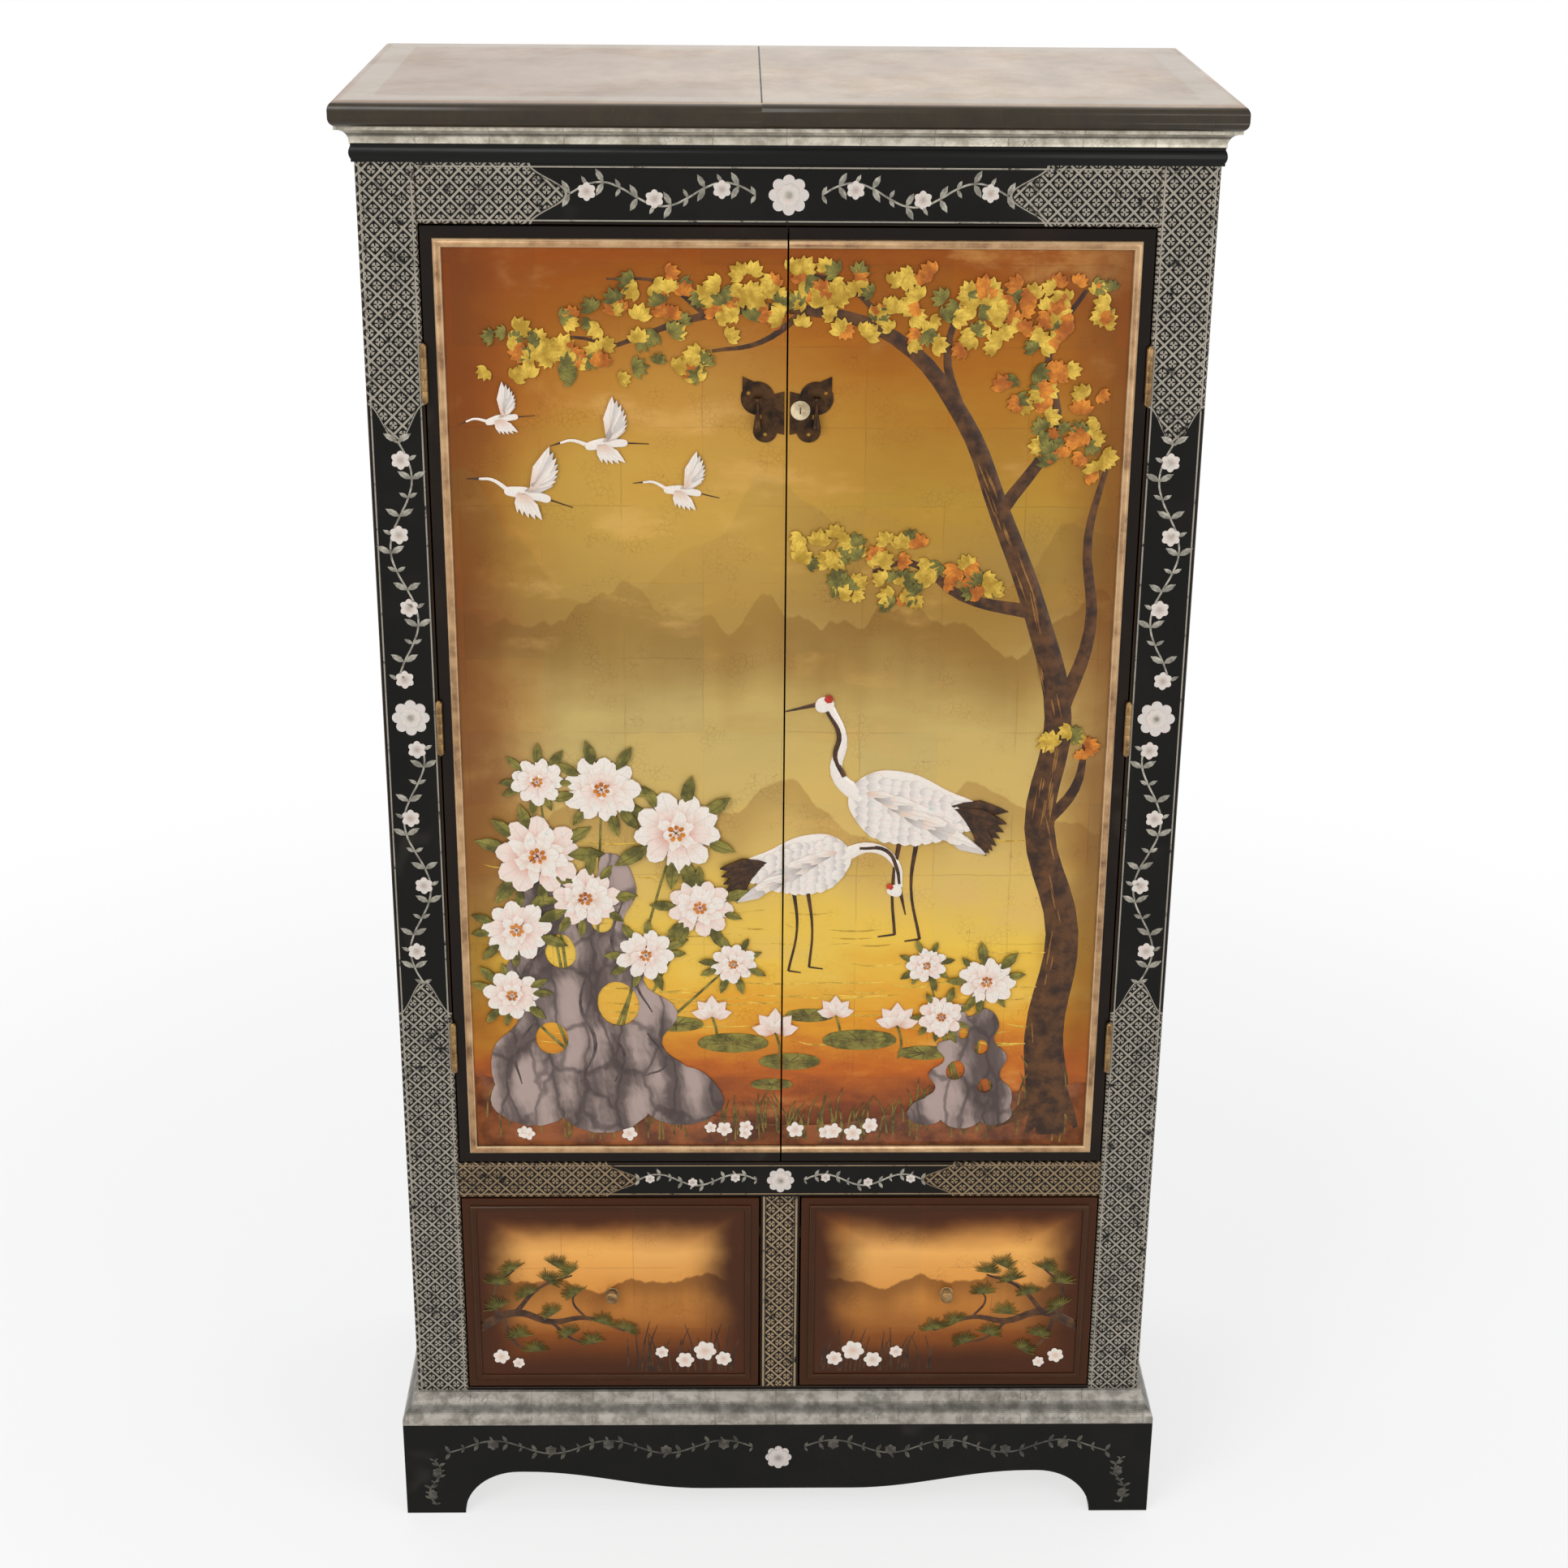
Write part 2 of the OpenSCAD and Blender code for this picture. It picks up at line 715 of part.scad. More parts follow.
module rosettes() {
    color(pearl) {
        rosette(0, front_y, (door_z1 + top_z - cove_h - torus_h) / 2, 1);
        rosette(0, front_y, (drawer_z1 + door_z0) / 2, rosette_small);
        rosette(0, plinth_y, (plinth_h + drop_z) / 2, rosette_small);
        for (side = [-1, 1]) rosette(side * (half_w - stile_w / 2), front_y, rosette_z, 1);
    }
}

// Doors

module whole_door() {
    difference() {
        block(door_x0, door_x1, face_y, door_back_y, door_z0 + door_gap, door_z1 - door_gap);
        picture_space(past, 0);
        hinge_door_pocket();
    }
}

// The picture panel's space; open_by runs it out past the meeting edge and the face, and less shrinks it
module picture_space(open_by, less) {
    block(door_x0 - open_by, door_x1 - panel_inset - less, face_y - open_by, face_y + panel_t,
          door_z0 + door_gap + panel_inset + less, door_z1 - door_gap - panel_inset - less);
}

module lock_hole() {
    length = plate_t + door_t + 3 * past;
    along_y(lock_x, face_y - past - plate_t, lock_z) cylinder(h = length, r = barrel_r + fit);
}

module door_left() { color(lacquer) on_side(-1) whole_door(); }
module door_right() {
    color(lacquer) difference() {
        whole_door();
        lock_hole();
    }
}
module door_left_picture() { color(gold_picture) on_side(-1) picture_space(0, fit); }
module door_right_picture() {
    color(gold_picture) difference() {
        picture_space(0, fit);
        lock_hole();
    }
}

// One bar of half-round bead, cut to a plan drawn in X and Z
module bead_bar(r, plan) {
    intersection() {
        children();
        upright(face_y, r) polygon(plan);
    }
}

module bead_bar_x(r, z, plan) {
    bead_bar(r, plan) translate([-half_w, face_y, z]) rotate([0, 90, 0]) cylinder(h = body_w, r = r);
}

module bead_bar_z(r, x, plan) {
    bead_bar(r, plan) translate([x, face_y, 0]) cylinder(h = total_h, r = r);
}

// The bead round three sides of a door's picture: it stops at the meeting edge
module whole_door_bead() {
    r = door_bead_r;
    xo = bead_x + r;
    xi = bead_x - r;
    x0 = door_x0;
    z0 = bead_z0;
    z1 = bead_z1;
    bead_bar_x(r, z0, [[x0, z0 - r], [xo, z0 - r], [xi, z0 + r], [x0, z0 + r]]);
    bead_bar_x(r, z1, [[x0, z1 + r], [xo, z1 + r], [xi, z1 - r], [x0, z1 - r]]);
    bead_bar_z(r, bead_x, [[xo, z0 - r], [xo, z1 + r], [xi, z1 - r], [xi, z0 + r]]);
}

module door_left_bead() { color(gilt) on_side(-1) whole_door_bead(); }
module door_right_bead() { color(gilt) whole_door_bead(); }

// Hinges. The frame leaf has the odd knuckles and the door leaf the even ones, round one pin.

module leaf_plate(x0, y0, z) {
    block(x0, x0 + leaf_t, y0, front_y + leaf_w, z - hinge_h / 2, z + hinge_h / 2);
}

// The knuckles of one leaf, each with the tongue that joins it to the leaf
module leaf_knuckles(x0, y0, z, parity) {
    for (i = [0:knuckle_n - 1]) if (i % 2 == parity) {
        low = z - hinge_h / 2 + i * knuckle_pitch + knuckle_gap / 2;
        high = low + knuckle_pitch - knuckle_gap;
        translate([hinge_x, hinge_y, low]) cylinder(h = high - low, r = knuckle_r);
        block(x0, x0 + leaf_t, hinge_y, y0 + past, low, high);
    }
}

// The screws of one leaf, with their heads on the plane x and running the way that way points
module leaf_screws(x, way, z, grow) {
    for (dz = screw_zs) translate([x, screw_y, z + dz]) rotate([0, 90 * way, 0]) {
        translate([0, 0, -grow]) cylinder(h = leaf_t + grow, r1 = screw_head_r + grow, r2 = screw_r + grow);
        cylinder(h = screw_l + grow, r = screw_r + grow);
    }
}

module hinge_leaf(x0, y0, z, parity, head_x, way) {
    difference() {
        union() {
            leaf_plate(x0, y0, z);
            leaf_knuckles(x0, y0, z, parity);
        }
        translate([hinge_x, hinge_y, z - hinge_h]) cylinder(h = 2 * hinge_h, r = pin_r + running);
        leaf_screws(head_x, way, z, thread_fit);
    }
}

// The pockets for the leaves and their screws in the stile and the door edge
module hinge_frame_pocket() {
    for (z = hinge_zs) {
        block(open_x - past, open_x + leaf_t, front_y - past, front_y + leaf_w,
              z - hinge_h / 2, z + hinge_h / 2);
        leaf_screws(open_x, 1, z, thread_fit);
    }
}

module hinge_door_pocket() {
    for (z = hinge_zs) {
        block(door_x1 - leaf_t, door_x1 + past, face_y - past, front_y + leaf_w,
              z - hinge_h / 2, z + hinge_h / 2);
        leaf_screws(door_x1, -1, z, thread_fit);
    }
}

module hinge_frame_leaves() {
    color(brass) for (side = [-1, 1]) on_side(side) for (z = hinge_zs) {
        hinge_leaf(open_x, front_y, z, 0, open_x, 1);
        leaf_screws(open_x, 1, z, 0);
    }
}

module door_leaves() {
    for (z = hinge_zs) {
        hinge_leaf(door_x1 - leaf_t, face_y, z, 1, door_x1, -1);
        leaf_screws(door_x1, -1, z, 0);
    }
}

module hinge_door_leaves_left() { color(brass) on_side(-1) door_leaves(); }
module hinge_door_leaves_right() { color(brass) door_leaves(); }

module hinge_pins() {
    head_h = 2.5;
    color(brass) for (side = [-1, 1]) on_side(side) for (z = hinge_zs)
        translate([hinge_x, hinge_y, z]) for (end = [0, 1]) mirror([0, 0, end]) {
            cylinder(h = (hinge_h - knuckle_gap) / 2, r = pin_r);
            translate([0, 0, (hinge_h - knuckle_gap) / 2])
                cylinder(h = head_h, r1 = knuckle_r - 0.5, r2 = pin_r * 0.6);
        }
}

// Pull plates: half of a butterfly on each door, with ears and a pin for the pendant

// Outline of one half, drawn about the height of the lock
module wing_outline() {
    low_r = wing_r * 0.72;
    low_x = wing_x - wing_r * 0.45;
    low_z = -wing_r * 1.25;
    tip_z = wing_r * 2;
    difference() {
        union() {
            translate([wing_x, wing_r * 0.7]) circle(wing_r);
            translate([low_x, low_z]) circle(low_r);
            polygon([[plate_x0, -wing_r * 1.5], [low_x, low_z], [wing_x, wing_r * 0.7],
                     [plate_x0, wing_r * 1.1]]);
            polygon([[wing_x, wing_r * 1.6], [wing_x + wing_r * 0.9, tip_z],
                     [wing_x + wing_r * 0.9, wing_r * 0.7]]);
        }
        translate([plate_x0 - 2 * wing_r, -2 * wing_r]) square([2 * wing_r, 5 * wing_r]);
        translate([wing_x + wing_r * 0.55, wing_r]) circle(wing_r * 0.12);
        translate([low_x, low_z - low_r * 0.35]) circle(wing_r * 0.12);
    }
}

module whole_plate() {
    ear_h = 7;
    ear_x = eye_w / 2 + eye_gap;
    union() {
        translate([0, 0, lock_z]) upright(face_y, plate_t) wing_outline();
        for (side = [-1, 1]) translate([wing_x + side * (ear_x + ear_t / 2), 0, eye_z])
            block(-ear_t / 2, ear_t / 2, eye_y - eye_pin_r - 1.5, plate_y, -ear_h / 2, ear_h / 2);
        along_x(wing_x - ear_x - ear_t / 2, eye_y, eye_z) cylinder(h = 2 * ear_x + ear_t, r = eye_pin_r);
    }
}

module pull_plate_left() { color(bronze) on_side(-1) whole_plate(); }
module pull_plate_right() {
    color(bronze) difference() {
        whole_plate();
        lock_hole();
    }
}

module whole_pendant() {
    neck_r = pendant_r * 0.34;
    bulb_z = eye_z - pendant_l + pendant_r;
    difference() {
        union() {
            along_x(wing_x - eye_w / 2, eye_y, eye_z) cylinder(h = eye_w, r = eye_r);
            translate([wing_x, eye_y, bulb_z]) sphere(pendant_r);
            translate([wing_x, eye_y, bulb_z + pendant_r * 0.4])
                cylinder(h = pendant_l * 0.5, r1 = pendant_r * 0.9, r2 = neck_r);
            translate([wing_x, eye_y, bulb_z]) cylinder(h = eye_z - bulb_z - eye_pin_r - 1, r = neck_r);
        }
        along_x(wing_x - eye_w, eye_y, eye_z) cylinder(h = 2 * eye_w, r = eye_pin_r + running);
    }
}

module pull_pendant_left() { color(bronze) on_side(-1) whole_pendant(); }
module pull_pendant_right() { color(bronze) whole_pendant(); }

// Cam lock in the right door, and the bolt on the back of the left door

module along_y(x, y, z) {
    translate([x, y, z]) rotate([-90, 0, 0]) children();
}

module lock_barrel() {
    flange_y = plate_y - lock_flange_t;
    color(steel) difference() {
        union() {
            along_y(lock_x, flange_y, lock_z) cylinder(h = lock_flange_t, r = barrel_r + 2.5);
            along_y(lock_x, flange_y, lock_z) cylinder(h = door_back_y + lock_nut_t - flange_y, r = barrel_r);
            along_y(lock_x, door_back_y, lock_z) cylinder(h = lock_nut_t, r = barrel_r + 4, $fn = 6);
        }
        along_y(lock_x, flange_y - past, lock_z) cylinder(h = 2 * door_t, r = plug_r + running);
    }
}

module lock_plug() {
    plug_y = plate_y - lock_flange_t - 0.5;
    slot_w = 1.6;
    color(steel) difference() {
        union() {
            along_y(lock_x, plug_y, lock_z) cylinder(h = cam_y + cam_t - plug_y, r = plug_r);
            block(lock_x - cam_w / 2, lock_x + cam_w / 2, cam_y, cam_y + cam_t,
                  lock_z - cam_reach + cam_w / 2, lock_z);
            for (dz = [0, cam_w / 2 - cam_reach])
                along_y(lock_x, cam_y, lock_z + dz) cylinder(h = cam_t, r = cam_w / 2);
        }
        block(lock_x - slot_w / 2, lock_x + slot_w / 2, plug_y - past, plug_y + 12, lock_z - 4, lock_z + 4);
    }
}

module bolt_guides() {
    half = 11;
    color(brass) difference() {
        union() {
            block(bolt_x - half, bolt_x + half, door_back_y, door_back_y + bolt_plate_t,
                  bolt_guide_bottom - 4, bolt_guide_top + 4);
            for (z = [bolt_guide_bottom, bolt_guide_top - bolt_guide])
                block(bolt_x - bolt_guide / 2 - 1, bolt_x + bolt_guide / 2 + 1, door_back_y + bolt_plate_t,
                      bolt_y + bolt_guide / 2 + 1, z, z + bolt_guide);
        }
        translate([bolt_x, bolt_y, bolt_guide_bottom - past])
            cylinder(h = bolt_guide_top - bolt_guide_bottom + 2 * past, r = bolt_r + running);
    }
}

module bolt_rod() {
    color(brass) union() {
        translate([bolt_x, bolt_y, bolt_top - bolt_rod_l]) cylinder(h = bolt_rod_l, r = bolt_r);
        along_y(bolt_x, bolt_y, bolt_knob_z) cylinder(h = 13, r = bolt_r - 0.5);
        along_y(bolt_x, bolt_y + 13, bolt_knob_z) sphere(bolt_r + 0.5);
    }
}

// Drawers. Each side has dovetails at both ends; the front has blind sockets and the back has open ones.

// The dovetails at one end of a side, drawn in Y and Z from the root line y, running the way that way points
module tails(y, way, reach, grow) {
    root = tail_root / 2 + grow;
    tip = root + reach * tail_slope;
    end = way * (reach + grow);
    for (i = [0:tail_count - 1]) translate([y, drawer_side_z0 + (i + 0.5) * tail_pitch])
        polygon([[-way * grow, -root], [end, -tip], [end, tip], [-way * grow, root]]);
}

// A shape drawn in Y and Z, standing to the right from x by t
module sideways(x, t) {
    translate([x, 0, 0]) rotate([90, 0, 90]) linear_extrude(t) children();
}

// The plan places of the two sides of a drawer
drawer_side_xs = [drawer_x0, drawer_x1 - drawer_side_t];

// The groove for the drawer bottom, all round inside the box
module bottom_groove() {
    block(drawer_x0 + drawer_side_t - groove_d, drawer_x1 - drawer_side_t + groove_d,
          drawer_back_y - groove_d, drawer_end_y + past, groove_z, groove_z + drawer_bottom_t + fit);
}

module whole_drawer_front() {
    difference() {
        block(drawer_x0, drawer_x1, face_y, drawer_back_y, drawer_front_z0, drawer_front_z1);
        for (x = drawer_side_xs)
            sideways(x - (x == drawer_x0 ? past : fit), drawer_side_t + past + fit)
                tails(drawer_back_y, -1, tail_lap, fit);
        bottom_groove();
        along_y(drawer_mid_x, face_y - past, drawer_mid_z)
            cylinder(h = drawer_front_t + 2 * past, r = stud_r + fit);
    }
}

module whole_drawer_sides() {
    difference() {
        for (x = drawer_side_xs) sideways(x, drawer_side_t) {
            translate([drawer_back_y, drawer_side_z0])
                square([drawer_box_l - drawer_side_t, drawer_side_h]);
            tails(drawer_back_y, -1, tail_lap, 0);
            tails(drawer_end_y - drawer_side_t, 1, drawer_side_t, 0);
        }
        bottom_groove();
    }
}

module whole_drawer_back() {
    z0 = groove_z + drawer_bottom_t + fit;
    difference() {
        block(drawer_x0, drawer_x1, drawer_end_y - drawer_side_t, drawer_end_y, z0, drawer_side_z1 - 6);
        for (x = drawer_side_xs)
            sideways(x - (x == drawer_x0 ? past : fit), drawer_side_t + past + fit)
                tails(drawer_end_y - drawer_side_t, 1, drawer_side_t, fit);
    }
}

module whole_drawer_bottom() {
    edge = groove_d - fit;
    block(drawer_x0 + drawer_side_t - edge, drawer_x1 - drawer_side_t + edge, drawer_back_y - edge,
          drawer_end_y, groove_z, groove_z + drawer_bottom_t);
}

module whole_drawer_bead() {
    r = drawer_bead_w / 2;
    x0 = drawer_x0 + drawer_border + r;
    x1 = drawer_x1 - drawer_border - r;
    z0 = drawer_front_z0 + drawer_border + r;
    z1 = drawer_front_z1 - drawer_border - r;
    bead_bar_x(r, z0, [[x0 - r, z0 - r], [x1 + r, z0 - r], [x1 - r, z0 + r], [x0 + r, z0 + r]]);
    bead_bar_x(r, z1, [[x0 - r, z1 + r], [x1 + r, z1 + r], [x1 - r, z1 - r], [x0 + r, z1 - r]]);
    bead_bar_z(r, x0, [[x0 - r, z0 - r], [x0 - r, z1 + r], [x0 + r, z1 - r], [x0 + r, z0 + r]]);
    bead_bar_z(r, x1, [[x1 + r, z0 - r], [x1 + r, z1 + r], [x1 - r, z1 - r], [x1 - r, z0 + r]]);
}

// A turned knob on its rose, with the stud that holds it through the front
module whole_knob() {
    rose_t = 1.6;
    stem_l = 7;
    nut_t = 2.5;
    head_r = knob_r * 1.1;
    dome = [for (a = [0:9:90]) [knob_r * cos(a), rose_t + stem_l + 3.5 + 3 * sin(a)]];
    translate([drawer_mid_x, face_y, drawer_mid_z]) rotate([90, 0, 0]) rotate_extrude() polygon(concat(
        [[0, -drawer_front_t - nut_t], [2 * stud_r, -drawer_front_t - nut_t], [2 * stud_r, -drawer_front_t],
         [stud_r, -drawer_front_t], [stud_r, 0], [head_r, 0], [head_r, rose_t * 0.6], [head_r - 1, rose_t],
         [4.2, rose_t + 0.6], [3, rose_t + 3], [3.6, rose_t + stem_l], [knob_r * 0.8, rose_t + stem_l + 1]],
        dome));
}

module drawer_left_front() { color(gold_picture) on_side(-1) whole_drawer_front(); }
module drawer_left_bead() { color(gilt) on_side(-1) whole_drawer_bead(); }
module drawer_left_sides() { color(pale_wood) on_side(-1) whole_drawer_sides(); }
module drawer_left_back() { color(pale_wood) on_side(-1) whole_drawer_back(); }
module drawer_left_bottom() { color(pale_wood) on_side(-1) whole_drawer_bottom(); }
module drawer_left_knob() { color(bronze) on_side(-1) whole_knob(); }
module drawer_right_front() { color(gold_picture) whole_drawer_front(); }
module drawer_right_bead() { color(gilt) whole_drawer_bead(); }
module drawer_right_sides() { color(pale_wood) whole_drawer_sides(); }
module drawer_right_back() { color(pale_wood) whole_drawer_back(); }
module drawer_right_bottom() { color(pale_wood) whole_drawer_bottom(); }
module drawer_right_knob() { color(bronze) whole_knob(); }

top_board_left();
top_board_right();
cornice_front();
cornice_sides();
side_panel_left();
side_panel_right();
stile_left();
stile_right();
frieze_rail();
middle_rail();
bottom_rail();
drawer_muntin();
back_panel();
wardrobe_floor();
base_board();
drawer_partition();
drawer_runners();
hat_shelf();
shelf_cleats();
hanging_rail();
rail_sockets();
door_stop();
base_moulding_front();
base_moulding_sides();
plinth_front();
plinth_left();
plinth_right();
plinth_back();
plinth_blocks();
rosettes();
door_left();
door_right();
door_left_picture();
door_right_picture();
door_left_bead();
door_right_bead();
hinge_frame_leaves();
hinge_pins();
hinge_door_leaves_left();
hinge_door_leaves_right();
pull_plate_left();
pull_plate_right();
pull_pendant_left();
pull_pendant_right();
lock_barrel();
lock_plug();
bolt_guides();
bolt_rod();
drawer_left_front();
drawer_left_bead();
drawer_left_sides();
drawer_left_back();
drawer_left_bottom();
drawer_left_knob();
drawer_right_front();
drawer_right_bead();
drawer_right_sides();
drawer_right_back();
drawer_right_bottom();
drawer_right_knob();
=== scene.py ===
import math
import random

import bpy
from mathutils import Matrix, Vector


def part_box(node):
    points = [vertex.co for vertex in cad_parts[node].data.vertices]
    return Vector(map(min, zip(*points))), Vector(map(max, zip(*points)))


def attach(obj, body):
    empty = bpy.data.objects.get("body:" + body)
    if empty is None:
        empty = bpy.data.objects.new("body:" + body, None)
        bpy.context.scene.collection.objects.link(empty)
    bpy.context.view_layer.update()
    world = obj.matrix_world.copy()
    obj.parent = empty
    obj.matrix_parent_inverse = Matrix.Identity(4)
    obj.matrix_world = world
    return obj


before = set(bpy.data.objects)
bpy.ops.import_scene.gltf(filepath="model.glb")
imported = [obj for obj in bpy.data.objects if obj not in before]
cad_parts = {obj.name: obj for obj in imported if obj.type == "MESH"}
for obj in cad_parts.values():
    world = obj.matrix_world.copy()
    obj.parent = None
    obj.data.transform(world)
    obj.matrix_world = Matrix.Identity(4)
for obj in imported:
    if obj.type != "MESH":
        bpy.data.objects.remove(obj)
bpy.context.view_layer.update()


# Places that the looks share, from the frame

# A CAD node's lowest and highest value along an axis, to a hundredth of a millimetre
def extent(name, axis):
    return [round(corner["xyz".index(axis)], 5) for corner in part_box(name)]


def midway(ends):
    return sum(ends) / 2


fronts = {"door": "door_left_picture", "drawer": "drawer_left_front", "frame": "stile_left",
          "plinth": "plinth_front", "rosettes": "rosettes"}
faces = {face: extent(part, "y")[0] for face, part in fronts.items()}
beadWide = {"door": 0.011, "drawer": 0.008}
pictures = {}
for name, wide in beadWide.items():
    (inner, outer), (low, high) = [extent(name + "_right_bead", axis) for axis in "xz"]
    inner += 0.0003 if name == "door" else wide  # the doors' bead leaves the meeting line open
    pictures[name] = {"across": (inner, outer - wide), "up": (low + wide, high - wide)}
stileWide = extent("stile_right", "x")
railHigh = extent("middle_rail", "z")
friezeHigh = [extent("frieze_rail", "z")[0], extent("cornice_front", "z")[0]]  # the cornice hides the rest


# Camera

camera = {"place": (-0.0566, -3.1511, 2.2429), "pitch": 22.38, "turn": -1.11, "roll": 0.49, "lens": 61.37}
bpy.ops.object.camera_add(location=camera["place"])
photoCamera = bpy.context.object
turned = Matrix.Rotation(math.radians(camera["turn"]), 3, "Z")
tipped = Matrix.Rotation(math.radians(90 - camera["pitch"]), 3, "X")
rolled = Matrix.Rotation(math.radians(camera["roll"]), 3, "Z")
photoCamera.rotation_euler = (turned @ tipped @ rolled).to_euler()
photoCamera.data.lens = camera["lens"]
photoCamera.data.sensor_width = 36
bpy.context.scene.camera = photoCamera
bpy.context.scene.view_settings.view_transform = "Standard"


# Shader nodes. A colour of three numbers runs from 0 to 255, and one of four is linear, as Blender holds it.

# What comes out of a node. Sums, differences and products of it make Math nodes.
class Flow:
    def __init__(self, socket):
        self.socket = socket
        self.tree = socket.id_data

    def __add__(self, other):
        return calc("ADD", self, other)

    def __radd__(self, other):
        return calc("ADD", other, self)

    def __sub__(self, other):
        return calc("SUBTRACT", self, other)

    def __rsub__(self, other):
        return calc("SUBTRACT", other, self)

    def __mul__(self, other):
        return calc("MULTIPLY", self, other)

    def __truediv__(self, other):
        return calc("DIVIDE", self, other)

    def __abs__(self):
        return calc("ABSOLUTE", self)


def srgb(colour):
    parts = [value / 255 for value in colour]
    return (*[part / 12.92 if part <= 0.04045 else ((part + 0.055) / 1.055) ** 2.4 for part in parts], 1)


def plug(value, socket):
    if isinstance(value, Flow):
        value.tree.links.new(value.socket, socket)
    else:
        socket.default_value = srgb(value) if socket.type == "RGBA" and len(value) == 3 else value


def node(kind, inputs, out=0, tree=None, **settings):
    tree = tree or next(value.tree for value in inputs.values() if isinstance(value, Flow))
    made = tree.nodes.new("ShaderNode" + kind)
    for name, value in settings.items():
        setattr(made, name, value)
    for key, value in inputs.items():
        plug(value, made.inputs[key])
    return Flow(made.outputs[out])


def calc(operation, *values):
    return node("Math", dict(enumerate(values)), operation=operation)


def most(first, *others):
    for other in others:
        first = calc("MAXIMUM", first, other)
    return first


def least(first, *others):
    for other in others:
        first = calc("MINIMUM", first, other)
    return first


def split(vector):
    return [Flow(socket) for socket in node("SeparateXYZ", {0: vector}).socket.node.outputs]


def length(first, second):
    return node("VectorMath", {0: node("CombineXYZ", {0: first, 1: second})}, "Value", operation="LENGTH")


def mapped(vector, scale, rotation=(0, 0, 0)):
    return node("Mapping", {"Vector": vector, "Scale": scale, "Rotation": rotation})


def warped(vector, by, amount=1):
    if amount != 1:
        by = node("VectorMath", {0: by, 1: (amount, amount, amount)}, operation="MULTIPLY")
    return node("VectorMath", {0: vector, 1: by}, operation="ADD")


# 0 where the value is low and 1 where it is high, or the other way round, with a smooth change between
def step(value, low, high):
    span = {"Value": value, "From Min": low, "From Max": high}
    return node("MapRange", span, interpolation_type="SMOOTHSTEP")


def mixColour(factor, first, second, mode="MIX"):
    return node("Mix", {0: factor, 6: first, 7: second}, 2, data_type="RGBA", blend_type=mode)


def ramp(factor, stops):
    made = node("ValToRGB", {"Fac": factor})
    elements = made.socket.node.color_ramp.elements
    while len(elements) < len(stops):
        elements.new(0.5)
    for element, (position, colour) in zip(elements, stops):
        element.position = position
        element.color = srgb(colour)
    return made


def noiseAt(vector, scale, detail=3, roughness=0.5, out="Fac"):
    return node("TexNoise", {"Vector": vector, "Scale": scale, "Detail": detail, "Roughness": roughness}, out)


def cells(vector, scale, feature="DISTANCE_TO_EDGE"):
    return node("TexVoronoi", {"Vector": vector, "Scale": scale}, "Distance", feature=feature)


def bump(height, distance, strength=1):
    return node("Bump", {"Height": height, "Distance": distance, "Strength": strength})


def newMaterial(name):
    material = bpy.data.materials.new(name)
    material.use_nodes = True
    tree = material.node_tree
    return tree.nodes["Principled BSDF"], node("TexCoord", {}, "Object", tree)


def setShader(shader, **values):
    sockets = {"colour": "Base Color", "rough": "Roughness", "metal": "Metallic", "normal": "Normal",
               "coat": "Coat Weight", "coatRough": "Coat Roughness", "specular": "Specular IOR Level"}
    for name, value in values.items():
        plug(value, shader.inputs[sockets[name]])


# Light and floor: white where the camera sees them, itself, in a gloss or through glass

def seenRays(tree):
    path = node("LightPath", {}, 0, tree).socket.node.outputs
    return most(*[Flow(path[ray]) for ray in ("Is Camera Ray", "Is Glossy Ray", "Is Transmission Ray")])


def softLight(name, place, size, power, target):
    bpy.ops.object.light_add(type="AREA", location=place)
    light = bpy.context.object
    light.name = name
    light.data.shape = "RECTANGLE"
    light.data.size, light.data.size_y = size
    light.data.energy = power
    light.rotation_euler = (Vector(target) - Vector(place)).to_track_quat("-Z", "Y").to_euler()


world = bpy.data.worlds.new("studio")
bpy.context.scene.world = world
world.use_nodes = True
sky = world.node_tree
dome = sky.nodes["Background"]
plug((0.97, 0.98, 1, 1), dome.inputs["Color"])
plug(0.44, dome.inputs["Strength"])
white = node("Background", {"Color": (1, 1, 1, 1), "Strength": 1}, 0, sky)
both = node("MixShader", {0: seenRays(sky), 1: Flow(dome.outputs[0]), 2: white})
plug(both, sky.nodes["World Output"].inputs["Surface"])

softLight("keyLight", (-2.2, -3.2, 3.1), (2.2, 2.2), 84, (0, 0, 0.9))
softLight("fillLight", (2.6, -3.0, 1.6), (2.0, 2.4), 44, (0, 0, 0.9))
softLight("topLight", (0, 0.3, 3.6), (2.4, 2.0), 38, (0, 0, 1.2))

bpy.ops.mesh.primitive_plane_add(size=90, location=(0, 30, -0.0005))
studioFloor = bpy.context.object
studioFloor.name = "studioFloor"
shader, place = newMaterial("studioFloor")
setShader(shader, colour=(0.9, 0.9, 0.9, 1), rough=0.7)
away = node("VectorMath", {0: place, 1: (0, -30, 0)}, "Value", operation="DISTANCE")
seen = seenRays(place.tree) * (step(away, 0.9, 2.6) * 0.3 + 0.7)  # white far out, with a shadow close by
glow = node("Emission", {"Color": (1, 1, 1, 1), "Strength": 1}, 0, place.tree)
both = node("MixShader", {0: seen, 1: Flow(shader.outputs[0]), 2: glow})
plug(both, place.tree.nodes["Material Output"].inputs["Surface"])
studioFloor.data.materials.append(bpy.data.materials["studioFloor"])
print("camera, light and floor")


# Shared effects. An input without a value is a place.

